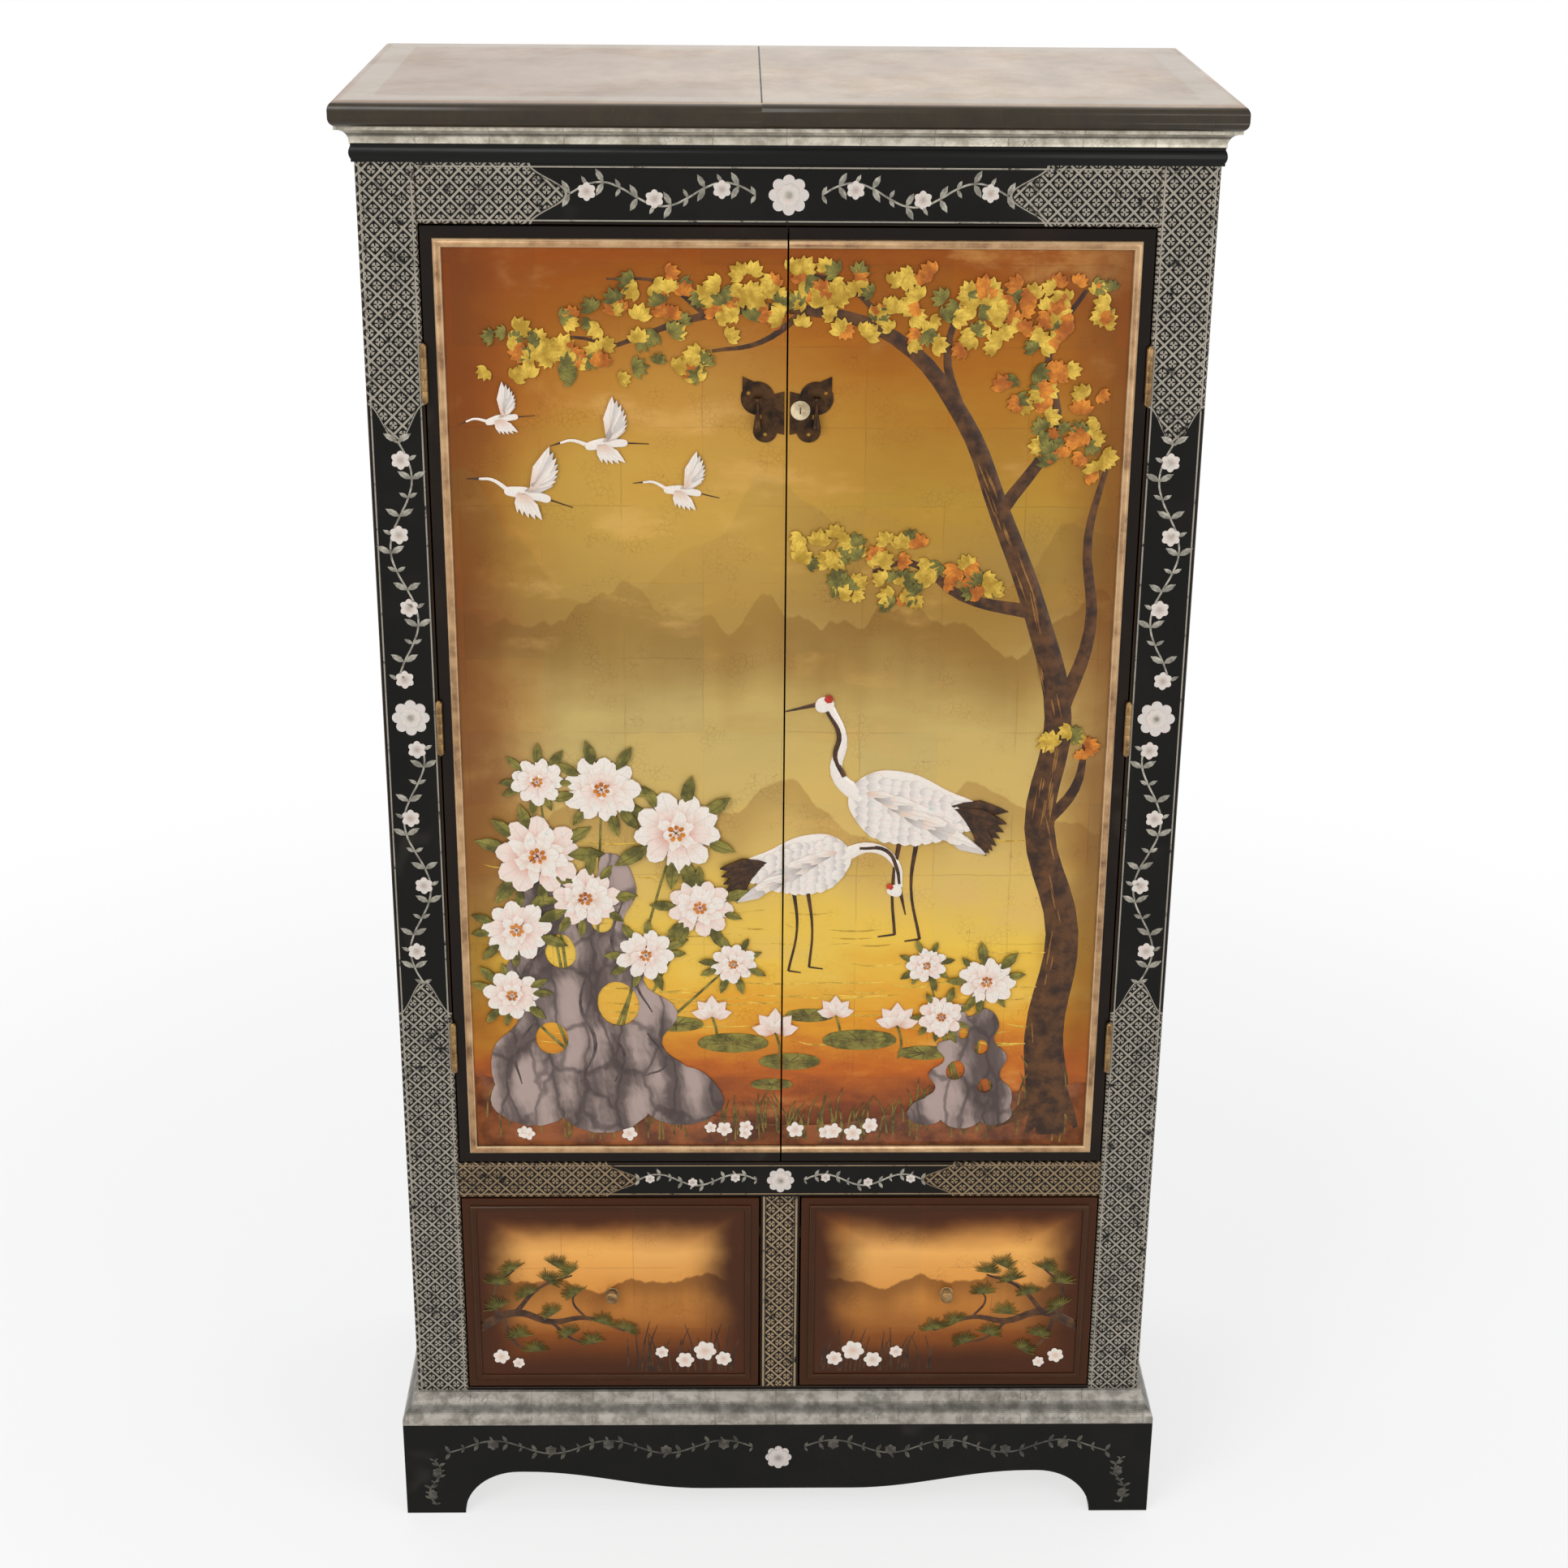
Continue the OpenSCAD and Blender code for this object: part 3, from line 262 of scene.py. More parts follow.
def effect(name, inputs, outputs):
    tree = bpy.data.node_groups.new(name, "ShaderNodeTree")
    for label, value in inputs.items():
        kind = "NodeSocketFloat" if value else "NodeSocketVector"
        socket = tree.interface.new_socket(label, in_out="INPUT", socket_type=kind)
        if value:
            socket.default_value = value
    for label in outputs:
        tree.interface.new_socket(label, in_out="OUTPUT", socket_type="NodeSocketFloat")
    given = tree.nodes.new("NodeGroupInput").outputs
    return [Flow(given[label]) for label in inputs], tree.nodes.new("NodeGroupOutput").inputs


def useEffect(name, inputs):
    made = node("Group", inputs, node_tree=bpy.data.node_groups[name]).socket.node
    return {socket.name: Flow(socket) for socket in made.outputs}


# Lozenge lattice with a flower in each cell, as a mask. It runs across front and side faces alike.
(place, cell), put = effect("diaper", {"Place": None, "Cell": 0.012}, ["Mask"])
x, y, z = split(place)
across = x + y
halves = [abs(calc("FRACT", turned / cell) - 0.5) for turned in (across + z, across - z)]
fromMiddle = length(*halves)
dots = step(fromMiddle, 0.33, 0.28) * step(abs(halves[0] - halves[1]), 0.05, 0.1)
plug(most(step(most(*halves), 0.4, 0.43), dots, step(fromMiddle, 0.11, 0.07)), put["Mask"])

# Dust and handling: a rougher, slightly lighter film, hairline scratches, and where edges are rubbed
(place, amount), put = effect("handling", {"Place": None, "Amount": 0.5},
                              ["Rough", "Film", "Rubbed", "Hairlines"])
smears = noiseAt(place, 9, 4, 0.6)
film = step(smears, 0.42, 0.7) * amount
plug(film * 0.16 + noiseAt(place, 420, 2, 0.6) * 0.03, put["Rough"])
plug(film, put["Film"])
facing = node("VectorMath", {0: node("TexCoord", {}, "Normal", place.tree)}, operation="ABSOLUTE")
squareOn = most(*split(facing))  # 1 on flat faces, less on edges
chips = 1 - squareOn + noiseAt(place, 60, 3, 0.6) * 0.1
plug(step(chips, 0.16, 0.3), put["Rubbed"])
sheets = noiseAt(mapped(place, (2, 150, 2), (0.7, 0.5, 0.9)), 5, 2)
plug(step(sheets, 0.64, 0.7) * step(smears, 0.4, 0.62) * amount, put["Hairlines"])

# Along a petal or leaf: 1 at its root, and a vein down its middle with side veins. Without that map it is 0.
(place,), put = effect("alongPetal", {"Map": None}, ["Root", "Veins"])
x, y, z = split(place)
aside = abs(x - 0.5)
sideVeins = step(calc("FRACT", (y + aside * 0.9) * 7), 0.16, 0.06) * 0.5
plug(step(y, 0.35, 1), put["Root"])
plug(most(step(aside, 0.028, 0.012), sideVeins) * step(y, 0.02, 0.12), put["Veins"])

# Straight grain along one direction, which the place is stretched for before it comes in
(place,), put = effect("grain", {"Place": None}, ["Tone", "Pores"])
plug(noiseAt(warped(place, noiseAt(place, 3, 2, 0.5, "Color")), 9, 5, 0.62), put["Tone"])
plug(step(noiseAt(place, 90, 3, 0.7), 0.5, 0.72), put["Pores"])

# Small squares of metal leaf: each has its own tone, with dark hairlines where they overlap and fine breaks
(place, side), put = effect("leafSquares", {"Place": None, "Side": 0.09}, ["Tone", "Seams", "Breaks"])
shaken = warped(place, noiseAt(place, 14, 3, 0.6, "Color"), 0.006)
x, y, z = split(shaken)
squares = [x / side, z / side]
corner = node("CombineXYZ", {0: calc("FLOOR", squares[0]), 1: calc("FLOOR", squares[1])})
plug(node("TexWhiteNoise", {"Vector": corner}, "Value", noise_dimensions="3D"), put["Tone"])
plug(step(most(*[abs(calc("FRACT", square) - 0.5) for square in squares]), 0.488, 0.497), put["Seams"])
plug(step(cells(shaken, 160), 0.035, 0.01) * step(noiseAt(place, 24, 3, 0.6), 0.5, 0.66), put["Breaks"])
print("shared effects")


# Materials of the lacquered boards: silver lines and lozenges are drawn on them by place

# How far in from a board's edge its silver line runs, and where a line is gone and full, from its middle
silverLines = {"inset": 0.0045, "rim": (0.0011, 0.0006), "lozengeEdge": (0.0017, 0.0011)}

# Lozenges cover a stile below and above these heights, and a rail from so far beside its middle to its ends
lozenges = {"cell": 0.021, "stile": (0.752, 1.473), "frieze": 0.262, "rail": 0.2, "stileWave": 0.022,
            "railWave": 0.02}


def handled(place, amount):
    return useEffect("handling", {"Place": place, "Amount": amount})


def lacquer(name, zone=None, rim=None, silver=((132, 126, 115), (166, 158, 143)), black=(13, 12, 10),
            film=(26, 24, 20)):
    shader, place = newMaterial(name)
    xyz = split(place)
    worn = handled(place, 0.5)
    colour = mixColour(worn["Film"] * 0.8, black, film)
    colour = mixColour(worn["Hairlines"] * 0.5, colour, (62, 56, 48))
    colour = mixColour(worn["Rubbed"] * 0.4, colour, (84, 58, 38))
    peel = noiseAt(place, 140, 2) * 0.3
    rough = worn["Rough"] + 0.2
    drawn = []
    if zone:
        depth = zone(*xyz)
        pattern = useEffect("diaper", {"Place": place, "Cell": lozenges["cell"]})["Mask"]
        drawn += [pattern * step(depth, 0.0025, 0.0032), step(abs(depth), *silverLines["lozengeEdge"])]
    if rim:
        drawn.append(step(abs(rim(*xyz) - silverLines["inset"]), *silverLines["rim"]))
    if drawn:
        left = most(*drawn) * step(noiseAt(place, 75, 4, 0.7), 0.3, 0.46)  # rubbed away here and there
        colour = mixColour(left, colour, mixColour(noiseAt(place, 30), *silver))
        rough = rough + left * 0.15
        peel = peel + left
        setShader(shader, metal=left * 0.35)
    setShader(shader, colour=colour, rough=rough, coat=0.08, coatRough=0.12, specular=0.1,
              normal=bump(peel, 0.0003))


# The wavy edge of a lozenge zone: one wave between the edges of its board
def lappet(along, ends, high):
    return calc("COSINE", (along - midway(ends)) * (2 * math.pi / (ends[1] - ends[0]))) * high


def stileZone(x, y, z):
    low, high = lozenges["stile"]
    edge = lappet(abs(x), stileWide, lozenges["stileWave"])
    return most(z + edge - high, low - z + edge)


def endZone(reach, ends):
    def zone(x, y, z):
        return abs(x) - reach + lappet(z, ends, lozenges["railWave"])
    return zone


def muntinZone(x, y, z):
    return extent("drawer_muntin", "x")[1] - silverLines["inset"] - abs(x)


def stileRim(x, y, z):
    return least(abs(x) - stileWide[0], stileWide[1] - abs(x))


def railRim(ends):
    def rim(x, y, z):
        return least(z - ends[0], ends[1] - z)
    return rim


# Middle and half of the line's frame on a side panel, its round notches, and the outer face that it keeps to
sidePanel = {"depth": (0.025, 0.192), "height": (0.973, 0.761), "notch": 0.045,
             "outFace": extent("side_panel_right", "x")[1] - 0.001}


def panelRim(x, y, z):
    inwards = []
    for value, (middle, half) in ((y, sidePanel["depth"]), (z, sidePanel["height"])):
        inwards.append(half - abs(value - middle))
    return least(*inwards, length(*inwards) - sidePanel["notch"], (abs(x) - sidePanel["outFace"]) * 20)


brownBlack = (60, 32, 14)
lacquer("plainLacquer")
lacquer("sideLacquer", rim=panelRim)
lacquer("stileLacquer", stileZone, stileRim)
lacquer("friezeLacquer", endZone(lozenges["frieze"], friezeHigh), railRim(friezeHigh))
lacquer("railLacquer", endZone(lozenges["rail"], railHigh), railRim(railHigh),
        ((120, 100, 76), (150, 128, 98)))
lacquer("muntinLacquer", muntinZone, silver=((132, 112, 88), (164, 142, 112)))
lacquer("doorLacquer", black=(22, 15, 10), film=(40, 28, 18))
lacquer("drawerLacquer", black=brownBlack, film=(72, 46, 28))


# Materials of the top and of the silver mouldings

# The border's soft outer and inner edges are measured in from the edges of the top
topBoards = {"halfWide": extent("top_board_right", "x")[1], "halfDeep": extent("top_board_right", "y")[1],
             "border": (0.012, 0.015, 0.043, 0.046)}


def paleTop(name):
    shader, place = newMaterial(name)
    x, y, z = split(place)
    worn = handled(place, 0.8)
    streaks = noiseAt(mapped(place, (2.2, 1.2, 2)), 5, 6, 0.66)
    field = ramp(streaks, [(0.3, (132, 113, 95)), (0.5, (153, 132, 111)), (0.7, (174, 154, 132))])
    crackle = step(cells(place, 70), 0.04, 0.012) * step(noiseAt(place, 12), 0.5, 0.62)
    field = mixColour(crackle * 0.4, field, (120, 104, 88))
    field = mixColour(step(x, 0.08, -0.42) * 0.55, field, (122, 97, 77))  # the left board is a little darker
    inFrom = least(topBoards["halfWide"] - abs(x), topBoards["halfDeep"] - abs(y))
    outer0, outer1, inner0, inner1 = topBoards["border"]
    border = step(inFrom, inner1, inner0) * step(inFrom, outer0, outer1)
    pattern = useEffect("diaper", {"Place": place, "Cell": 0.0125})["Mask"]
    field = mixColour(border * 0.55, field, mixColour(pattern, (122, 112, 98), (172, 162, 148)))
    level = step(split(node("TexCoord", {}, "Normal", place.tree))[2], 0.72, 0.94)
    edges = mixColour(noiseAt(place, 40, 4, 0.6), (22, 17, 8), (56, 44, 24))
    setShader(shader, colour=mixColour(level, edges, field), rough=worn["Rough"] + 0.28, coat=0.2,
              coatRough=0.15, specular=0.25, normal=bump(crackle * -1, 0.0001))


def silverLeaf(name, light, dim, shows):
    shader, place = newMaterial(name)
    worn = handled(place, 0.7)
    leaf = useEffect("leafSquares", {"Place": place, "Side": 0.08})
    mottled = noiseAt(place, 55, 5, 0.65)
    colour = mixColour(step(mottled, 0.35, 0.65), dim, light)
    colour = mixColour(leaf["Tone"] * 0.18, colour, (120, 112, 96))
    holes = most(leaf["Breaks"], leaf["Seams"] * 0.5, worn["Rubbed"])
    silver = (1 - holes * 0.7) * shows(split(place)[2])
    setShader(shader, colour=mixColour(silver, (16, 16, 15), colour), metal=silver * 0.3, coat=0.05,
              coatRough=0.2, specular=0.12, rough=worn["Rough"] + 0.3, normal=bump(mottled, 0.00015))


blackBands = {"beadLow": 1.7615, "beadHigh": 1.7825, "footHigh": 0.139, "soft": 0.0006}


def outsideBlackBead(z):
    low, high, soft = blackBands["beadLow"], blackBands["beadHigh"], blackBands["soft"]
    return 1 - step(z, low - soft, low) * step(z, high, high - soft)


def aboveBlackFoot(z):
    return step(z, blackBands["footHigh"] - blackBands["soft"], blackBands["footHigh"])


paleTop("paleTop")
silverLeaf("corniceSilver", (208, 200, 184), (158, 150, 134), outsideBlackBead)
silverLeaf("baseSilver", (178, 172, 162), (130, 125, 116), aboveBlackFoot)


# Gold grounds of the pictures, with hills, mist and smoked edges

hills = [(1.33, 0.3, 5, 3.1, 0.16, (142, 108, 48)), (1.24, 0.26, 7, 8.4, 0.13, (120, 86, 38)),
         (1.0, 0.14, 8, 1.7, 0.1, (156, 122, 66))]  # foot, rise, scale, offset, fade and tone
doorStops = [(0.0, (52, 34, 24)), (0.05, (116, 62, 40)), (0.1, (176, 94, 38)), (0.16, (210, 146, 46)),
             (0.24, (220, 182, 76)), (0.36, (200, 170, 100)), (0.48, (186, 162, 100)), (0.62, (150, 120, 64)),
             (0.74, (168, 130, 50)), (0.87, (156, 98, 28)), (1.0, (132, 68, 18))]
drawerStops = [(0.0, (62, 32, 18)), (0.25, (128, 72, 30)), (0.5, (206, 140, 68)), (0.75, (226, 166, 92)),
               (1.0, (128, 66, 28))]
drawerHill = (0.345, 0.07, 14, 4.2, 0.06, (104, 60, 24))
halo = {"at": (-0.12, 1.4, 0), "gone": 0.26, "full": 0.05}


def ridge(x, z, base, rise, scale, offset, fade):
    waves = {"W": x + offset, "Scale": scale, "Detail": 4, "Roughness": 0.42}
    under = (node("TexNoise", waves, noise_dimensions="1D") - 0.5) * rise + base - z
    return step(under, -0.002, 0.002) * step(under, fade, 0)


def doorShade(place, x, y, z, colour, brushed):
    warm = noiseAt(place, 7, 4, 0.6)
    leftEdge = step(x + warm * 0.12, -0.17, -0.33) * step(z, 0.78, 0.95)
    colour = mixColour(leftEdge * 0.7, colour, (134, 66, 24))
    colour = mixColour(step(x - warm * 0.1, 0.24, 0.36) * 0.45, colour, (150, 88, 40))
    for *shape, tone in hills:
        colour = mixColour(ridge(x, z, *shape) * 0.6, colour, tone)
    flat = node("CombineXYZ", {0: x, 1: z})
    fromHalo = node("VectorMath", {0: flat, 1: halo["at"]}, "Value", operation="DISTANCE")
    colour = mixColour(step(fromHalo, halo["gone"], halo["full"]) * 0.4, colour, (206, 170, 88))
    mist = step(brushed, 0.52, 0.68) * step(warm, 0.4, 0.6)
    colour = mixColour(mist * 0.4, colour, (216, 172, 104))
    inFromBead = pictures["door"]["across"][1] - abs(x)
    smoked = step(inFromBead + (warm - 0.5) * 0.08, 0.08, 0) * step(z, 0.6, 0.72)
    return mixColour(smoked * 0.62, colour, (94, 50, 20))


def drawerShade(place, x, y, z, colour, brushed):
    (left, right), (low, high) = pictures["drawer"]["across"], pictures["drawer"]["up"]
    halfWide, halfHigh, front = (right - left) / 2, (high - low) / 2, faces["drawer"]
    across, up = abs(abs(x) - (left + right) / 2), abs(z - (low + high) / 2)
    *shape, tone = drawerHill
    colour = mixColour(ridge(x, z, *shape) * 0.75, colour, tone)
    reach = most(across / halfWide, up / halfHigh) + (noiseAt(place, 11, 4) - 0.5) * 0.35
    colour = mixColour(step(reach, 0.55, 0.95), colour, (68, 37, 20))
    outside = most(step(across, halfWide - 0.0005, halfWide + 0.0005),
                   step(up, halfHigh - 0.0004, halfHigh + 0.0006), step(y, front + 0.0007, front + 0.0015))
    return mixColour(outside, colour, brownBlack)


def goldGround(name, stops, span, shade):
    shader, place = newMaterial(name)
    x, y, z = split(place)
    worn = handled(place, 0.6)
    leaf = useEffect("leafSquares", {"Place": place, "Side": 0.092})
    brushed = noiseAt(mapped(place, (1, 1, 2.6)), 5, 6, 0.62)
    height = node("MapRange", {"Value": z, "From Min": span[0], "From Max": span[1]})
    colour = shade(place, x, y, z, ramp(height + (brushed - 0.5) * 0.2, stops), brushed)
    colour = mixColour(leaf["Tone"] * 0.16, colour, (250, 205, 110), "SOFT_LIGHT")
    seams = leaf["Seams"] * step(noiseAt(place, 9, 3), 0.45, 0.6)
    colour = mixColour(seams * 0.2, colour, (96, 52, 16))
    colour = mixColour(leaf["Breaks"] * 0.35, colour, (100, 46, 18))
    setShader(shader, colour=colour, metal=0.2, rough=worn["Rough"] + 0.3, coat=0.08, coatRough=0.14,
              specular=0.12, normal=bump(leaf["Tone"] + leaf["Breaks"], 0.00012))


goldGround("doorGold", doorStops, (0.542, 1.673), doorShade)
goldGround("drawerGold", drawerStops, pictures["drawer"]["up"], drawerShade)


# Metals, woods, shell, paint and stone

def gilt(name):
    shader, place = newMaterial(name)
    worn = handled(place, 0.8)
    patches = noiseAt(place, 34, 5, 0.65)
    colour = ramp(patches, [(0.32, (112, 78, 48)), (0.5, (168, 130, 90)), (0.68, (192, 158, 116))])
    colour = mixColour(worn["Rubbed"] * 0.5, colour, (232, 204, 160))
    setShader(shader, colour=colour, metal=0.35, rough=worn["Rough"] + 0.34, normal=bump(patches, 0.0001))


hinge = {"leafHalf": 0.032, "screwsApart": 0.0213, "screwRow": -0.2098, "head": 0.00335}


# A dark line round each screw head of the hinges, and its upright slot
def screwMarks(x, y, z):
    low, high = extent("hinge_frame_leaves", "z")
    middles = (low + hinge["leafHalf"], midway((low, high)), high - hinge["leafHalf"])
    along = least(*[abs(z - middle) for middle in middles])
    along = least(along, abs(along - hinge["screwsApart"]))
    aside = abs(y - hinge["screwRow"])
    reach = length(aside, along)
    slot = step(aside, 0.0006, 0.0004) * step(reach, 0.003, 0.0028)
    return most(step(abs(reach - hinge["head"]), 0.0004, 0.0002), slot)


def metal(name, dark, light, metallic, rough, patina=None, marks=None):
    shader, place = newMaterial(name)
    cloudy = noiseAt(place, 60, 5, 0.6)
    colour = mixColour(step(cloudy, 0.35, 0.65), dark, light)
    if patina:
        colour = mixColour(step(noiseAt(place, 150, 4, 0.65), 0.52, 0.68) * 0.45, colour, patina)
    colour = mixColour(handled(place, 0.7)["Rubbed"], colour, light)
    if marks:
        colour = mixColour(marks(*split(place)) * 0.85, colour, (30, 20, 12))
    scratches = noiseAt(mapped(place, (1, 1, 14)), 300, 2)
    setShader(shader, colour=colour, metal=metallic, rough=cloudy * 0.2 + rough,
              normal=bump(scratches, 0.00003))


def wood(name, stretch, dark, light, gloss):
    shader, place = newMaterial(name)
    fibres = useEffect("grain", {"Place": mapped(place, stretch)})
    colour = mixColour(step(fibres["Tone"], 0.3, 0.7), dark, light)
    colour = mixColour(fibres["Pores"] * 0.45, colour, dark)
    setShader(shader, colour=colour, rough=gloss - fibres["Tone"] * 0.15,
              normal=bump(fibres["Pores"], 0.0002, 0.6))


def lengthways(place):
    return useEffect("alongPetal", {"Map": node("UVMap", {}, "UV", place.tree, uv_map="lengthways")})


def pearl(name, tint, root=(206, 166, 140)):
    shader, place = newMaterial(name)
    bands = noiseAt(warped(place, noiseAt(place, 40, 2, 0.5, "Color")), 26, 3, 0.6)
    colour = ramp(bands, [(0.3, (188, 200, 198)), (0.44, (226, 222, 212)), (0.56, (232, 208, 202)),
                          (0.66, (204, 216, 196)), (0.8, (228, 224, 230))])
    colour = mixColour(0.35, colour, tint, "MULTIPLY")
    marks = lengthways(place)
    # Petals and feathers take the root colour toward their root: partly their own tint, partly painted shade
    # where the pieces in front overlap them
    colour = mixColour(marks["Root"] * 0.75, colour, root)
    colour = mixColour(marks["Veins"] * 0.25, colour, (176, 156, 142))
    setShader(shader, colour=colour, rough=0.22, coat=0.4, coatRough=0.08, normal=bump(bands, 0.0002, 0.5))


def paint(name, dark, light, scale=45, rough=0.4, metallic=0.0):
    shader, place = newMaterial(name)
    brushed = noiseAt(place, scale, 5, 0.62)
    marks = lengthways(place)
    colour = mixColour(step(brushed, 0.34, 0.66), dark, light)
    colour = mixColour(marks["Root"] * 0.5, colour, dark)
    colour = mixColour(marks["Veins"] * 0.55, colour, dark)
    setShader(shader, colour=colour, metal=metallic, rough=handled(place, 0.6)["Rough"] + rough, coat=0.08,
              specular=0.25, normal=bump(brushed, 0.0002))


def stone(name, dark, light, scale):
    shader, place = newMaterial(name)
    bent = warped(mapped(place, (1, 1, 0.42), (0, 0.4, 0)), noiseAt(place, 16, 3, 0.6, "Color"), 0.03)
    edges = cells(bent, scale)
    hatched = noiseAt(mapped(bent, (1, 1, 0.16)), 190, 3, 0.6)
    # Painted highlight and shade of carved facets: each facet is lighter at its middle and darker toward its
    # rim; the fine hatching is the stone's own texture
    tone = step(cells(bent, scale, "SMOOTH_F1"), 0.75, 0.15) * 0.7 + hatched * 0.5
    colour = mixColour(step(tone, 0.3, 0.95), dark, light)
    # Dark painted shade in the cracks between the facets
    colour = mixColour(step(edges, 0.09, 0.01) * 0.6, colour, (58, 46, 44))
    setShader(shader, colour=colour, rough=handled(place, 0.6)["Rough"] + 0.42, coat=0.08, specular=0.25,
              normal=bump(step(edges, 0, 0.3), 0.0012, 0.7))


brass = ((104, 78, 48), (158, 126, 82), 0.75, 0.38, (62, 50, 32))
gilt("giltBead")
metal("agedBrass", *brass)
metal("hingeBrass", *brass, screwMarks)
metal("darkBronze", (34, 22, 12), (76, 50, 26), 0.75, 0.34, (24, 18, 12))
metal("nickel", (170, 152, 122), (222, 204, 168), 0.9, 0.24)
wood("stainedWood", (0.5, 6, 6), (38, 20, 12), (74, 42, 24), 0.5)
wood("stainedBack", (6, 6, 0.5), (44, 25, 15), (84, 52, 31), 0.6)
wood("drawerWood", (6, 0.5, 6), (150, 112, 70), (204, 168, 118), 0.66)
wood("crossWood", (0.5, 6, 6), (146, 108, 68), (198, 162, 112), 0.66)
# The second colour of each shell is its root colour, partly tint and partly painted shade
pearl("shell", (250, 248, 240))
pearl("rosyShell", (250, 214, 198), (200, 128, 104))
pearl("mistShell", (150, 152, 158), (120, 112, 106))
pearl("downShell", (246, 245, 242), (176, 170, 166))
pearl("frameShell", (180, 175, 168), (152, 134, 120))
paint("bark", (44, 25, 14), (92, 58, 28))
paint("barkLight", (104, 68, 36), (150, 108, 60))
paint("yellowLeaf", (160, 124, 34), (224, 188, 78), 60, 0.35, 0.1)
paint("amberLeaf", (150, 78, 20), (214, 134, 44), 60, 0.35, 0.1)
paint("oliveLeaf", (74, 70, 28), (136, 126, 56), 60, 0.4, 0.05)
paint("bankEarth", (80, 42, 26), (148, 84, 44), 22, 0.45)
stone("rockGrey", (86, 72, 68), (164, 144, 136), 30)
paint("rockDark", (58, 48, 46), (94, 80, 76), 60, 0.45)
paint("coral", (140, 36, 22), (196, 62, 36), 90, 0.35)
paint("inkLine", (38, 24, 14), (80, 50, 26), 80, 0.45)
paint("grassLine", (66, 58, 24), (126, 108, 48), 80, 0.45)
paint("silverLine", (112, 108, 98), (176, 170, 156), 90, 0.35, 0.3)
paint("dimSilver", (54, 52, 46), (98, 94, 84), 90, 0.4, 0.2)
print("materials")


# Finishes of the CAD parts. A star stands for left and right, and fine edges are less rounded.

finishes = {
    "paleTop": ["top_board_*"],
    "corniceSilver": ["cornice_front", "cornice_sides"],
    "baseSilver": ["base_moulding_front", "base_moulding_sides"],
    "stileLacquer": ["stile_*"],
    "friezeLacquer": ["frieze_rail"],
    "railLacquer": ["middle_rail"],
    "muntinLacquer": ["drawer_muntin"],
    "sideLacquer": ["side_panel_*"],
    "plainLacquer": ["bottom_rail", "plinth_front", "plinth_*"],
    "doorLacquer": ["door_*"],
    "drawerLacquer": ["drawer_*_bead"],
    "doorGold": ["door_*_picture"],
    "drawerGold": ["drawer_*_front"],
    "giltBead": ["door_*_bead"],
    "stainedWood": ["wardrobe_floor", "hat_shelf", "shelf_cleats", "door_stop", "plinth_back"],
    "stainedBack": ["back_panel"],
    "drawerWood": ["drawer_*_sides", "drawer_runners", "drawer_partition"],
    "crossWood": ["drawer_*_back", "drawer_*_bottom", "base_board", "plinth_blocks"],
    "agedBrass": ["hanging_rail", "rail_sockets", "hinge_pins", "bolt_guides", "bolt_rod", "drawer_*_knob"],
    "hingeBrass": ["hinge_frame_leaves", "hinge_door_leaves_*"],
    "darkBronze": ["pull_plate_*", "pull_pendant_*"],
    "nickel": ["lock_barrel", "lock_plug"],
    "mistShell": ["rosettes"],
}
fine = {"agedBrass": 0.0002, "hingeBrass": 0.0002, "darkBronze": 0.00025, "nickel": 0.0002,
        "mistShell": 0.0002, "giltBead": 0.0002}
for material, patterns in finishes.items():
    for name in sorted({pattern.replace("*", side) for pattern in patterns for side in ("left", "right")}):
        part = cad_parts[name]
        part.data.materials.clear()
        part.data.materials.append(bpy.data.materials[material])
        part.modifiers.new("weld", "WELD").merge_threshold = 0.0000002  # only corners that lie on each other
        if material not in ("doorGold", "drawerGold"):
            rounded = part.modifiers.new("rounded", "BEVEL")
            rounded.width = fine.get(material, 0.0009)
            rounded.segments = 2
            rounded.limit_method = "ANGLE"
            rounded.angle_limit = math.radians(35)
            rounded.harden_normals = True
print("finishes on the CAD parts")


# Relief and inlay. Shapes are drawn lying down, then stood on one of the front faces.

stand = Matrix.Rotation(math.pi / 2, 4, "X")
shapesMade = []


def only(shape):
    bpy.ops.object.select_all(action="DESELECT")
    shape.select_set(True)
    bpy.context.view_layer.objects.active = shape


# A piece is cut along the meeting line and at the picture's beads, and each half rides on its own body
def rideHalves(piece, picture):
    inner, outer = pictures[picture]["across"]
    low, high = pictures[picture]["up"]
    for side, word in ((-1, "left"), (1, "right")):
        half = piece.copy()
        half.data = piece.data.copy()
        half.name = piece.name + word.capitalize()
        bpy.context.collection.objects.link(half)
        only(half)
        bpy.ops.object.mode_set(mode="EDIT")
        for point, outwards in (((side * inner, 0, 0), (-side, 0, 0)), ((side * outer, 0, 0), (side, 0, 0)),
                                ((0, 0, low), (0, 0, -1)), ((0, 0, high), (0, 0, 1))):
            bpy.ops.mesh.select_all(action="SELECT")
            bpy.ops.mesh.bisect(plane_co=point, plane_no=outwards, clear_outer=True)
            bpy.ops.mesh.select_all(action="SELECT")
            bpy.ops.mesh.fill_holes(sides=0)  # bisect's own fill leaves some open where shapes overlap
        bpy.ops.object.mode_set(mode="OBJECT")
        if len(half.data.vertices):
            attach(half, picture + "_" + word + "_body")
        else:
            bpy.data.objects.remove(half)
    bpy.data.objects.remove(piece)


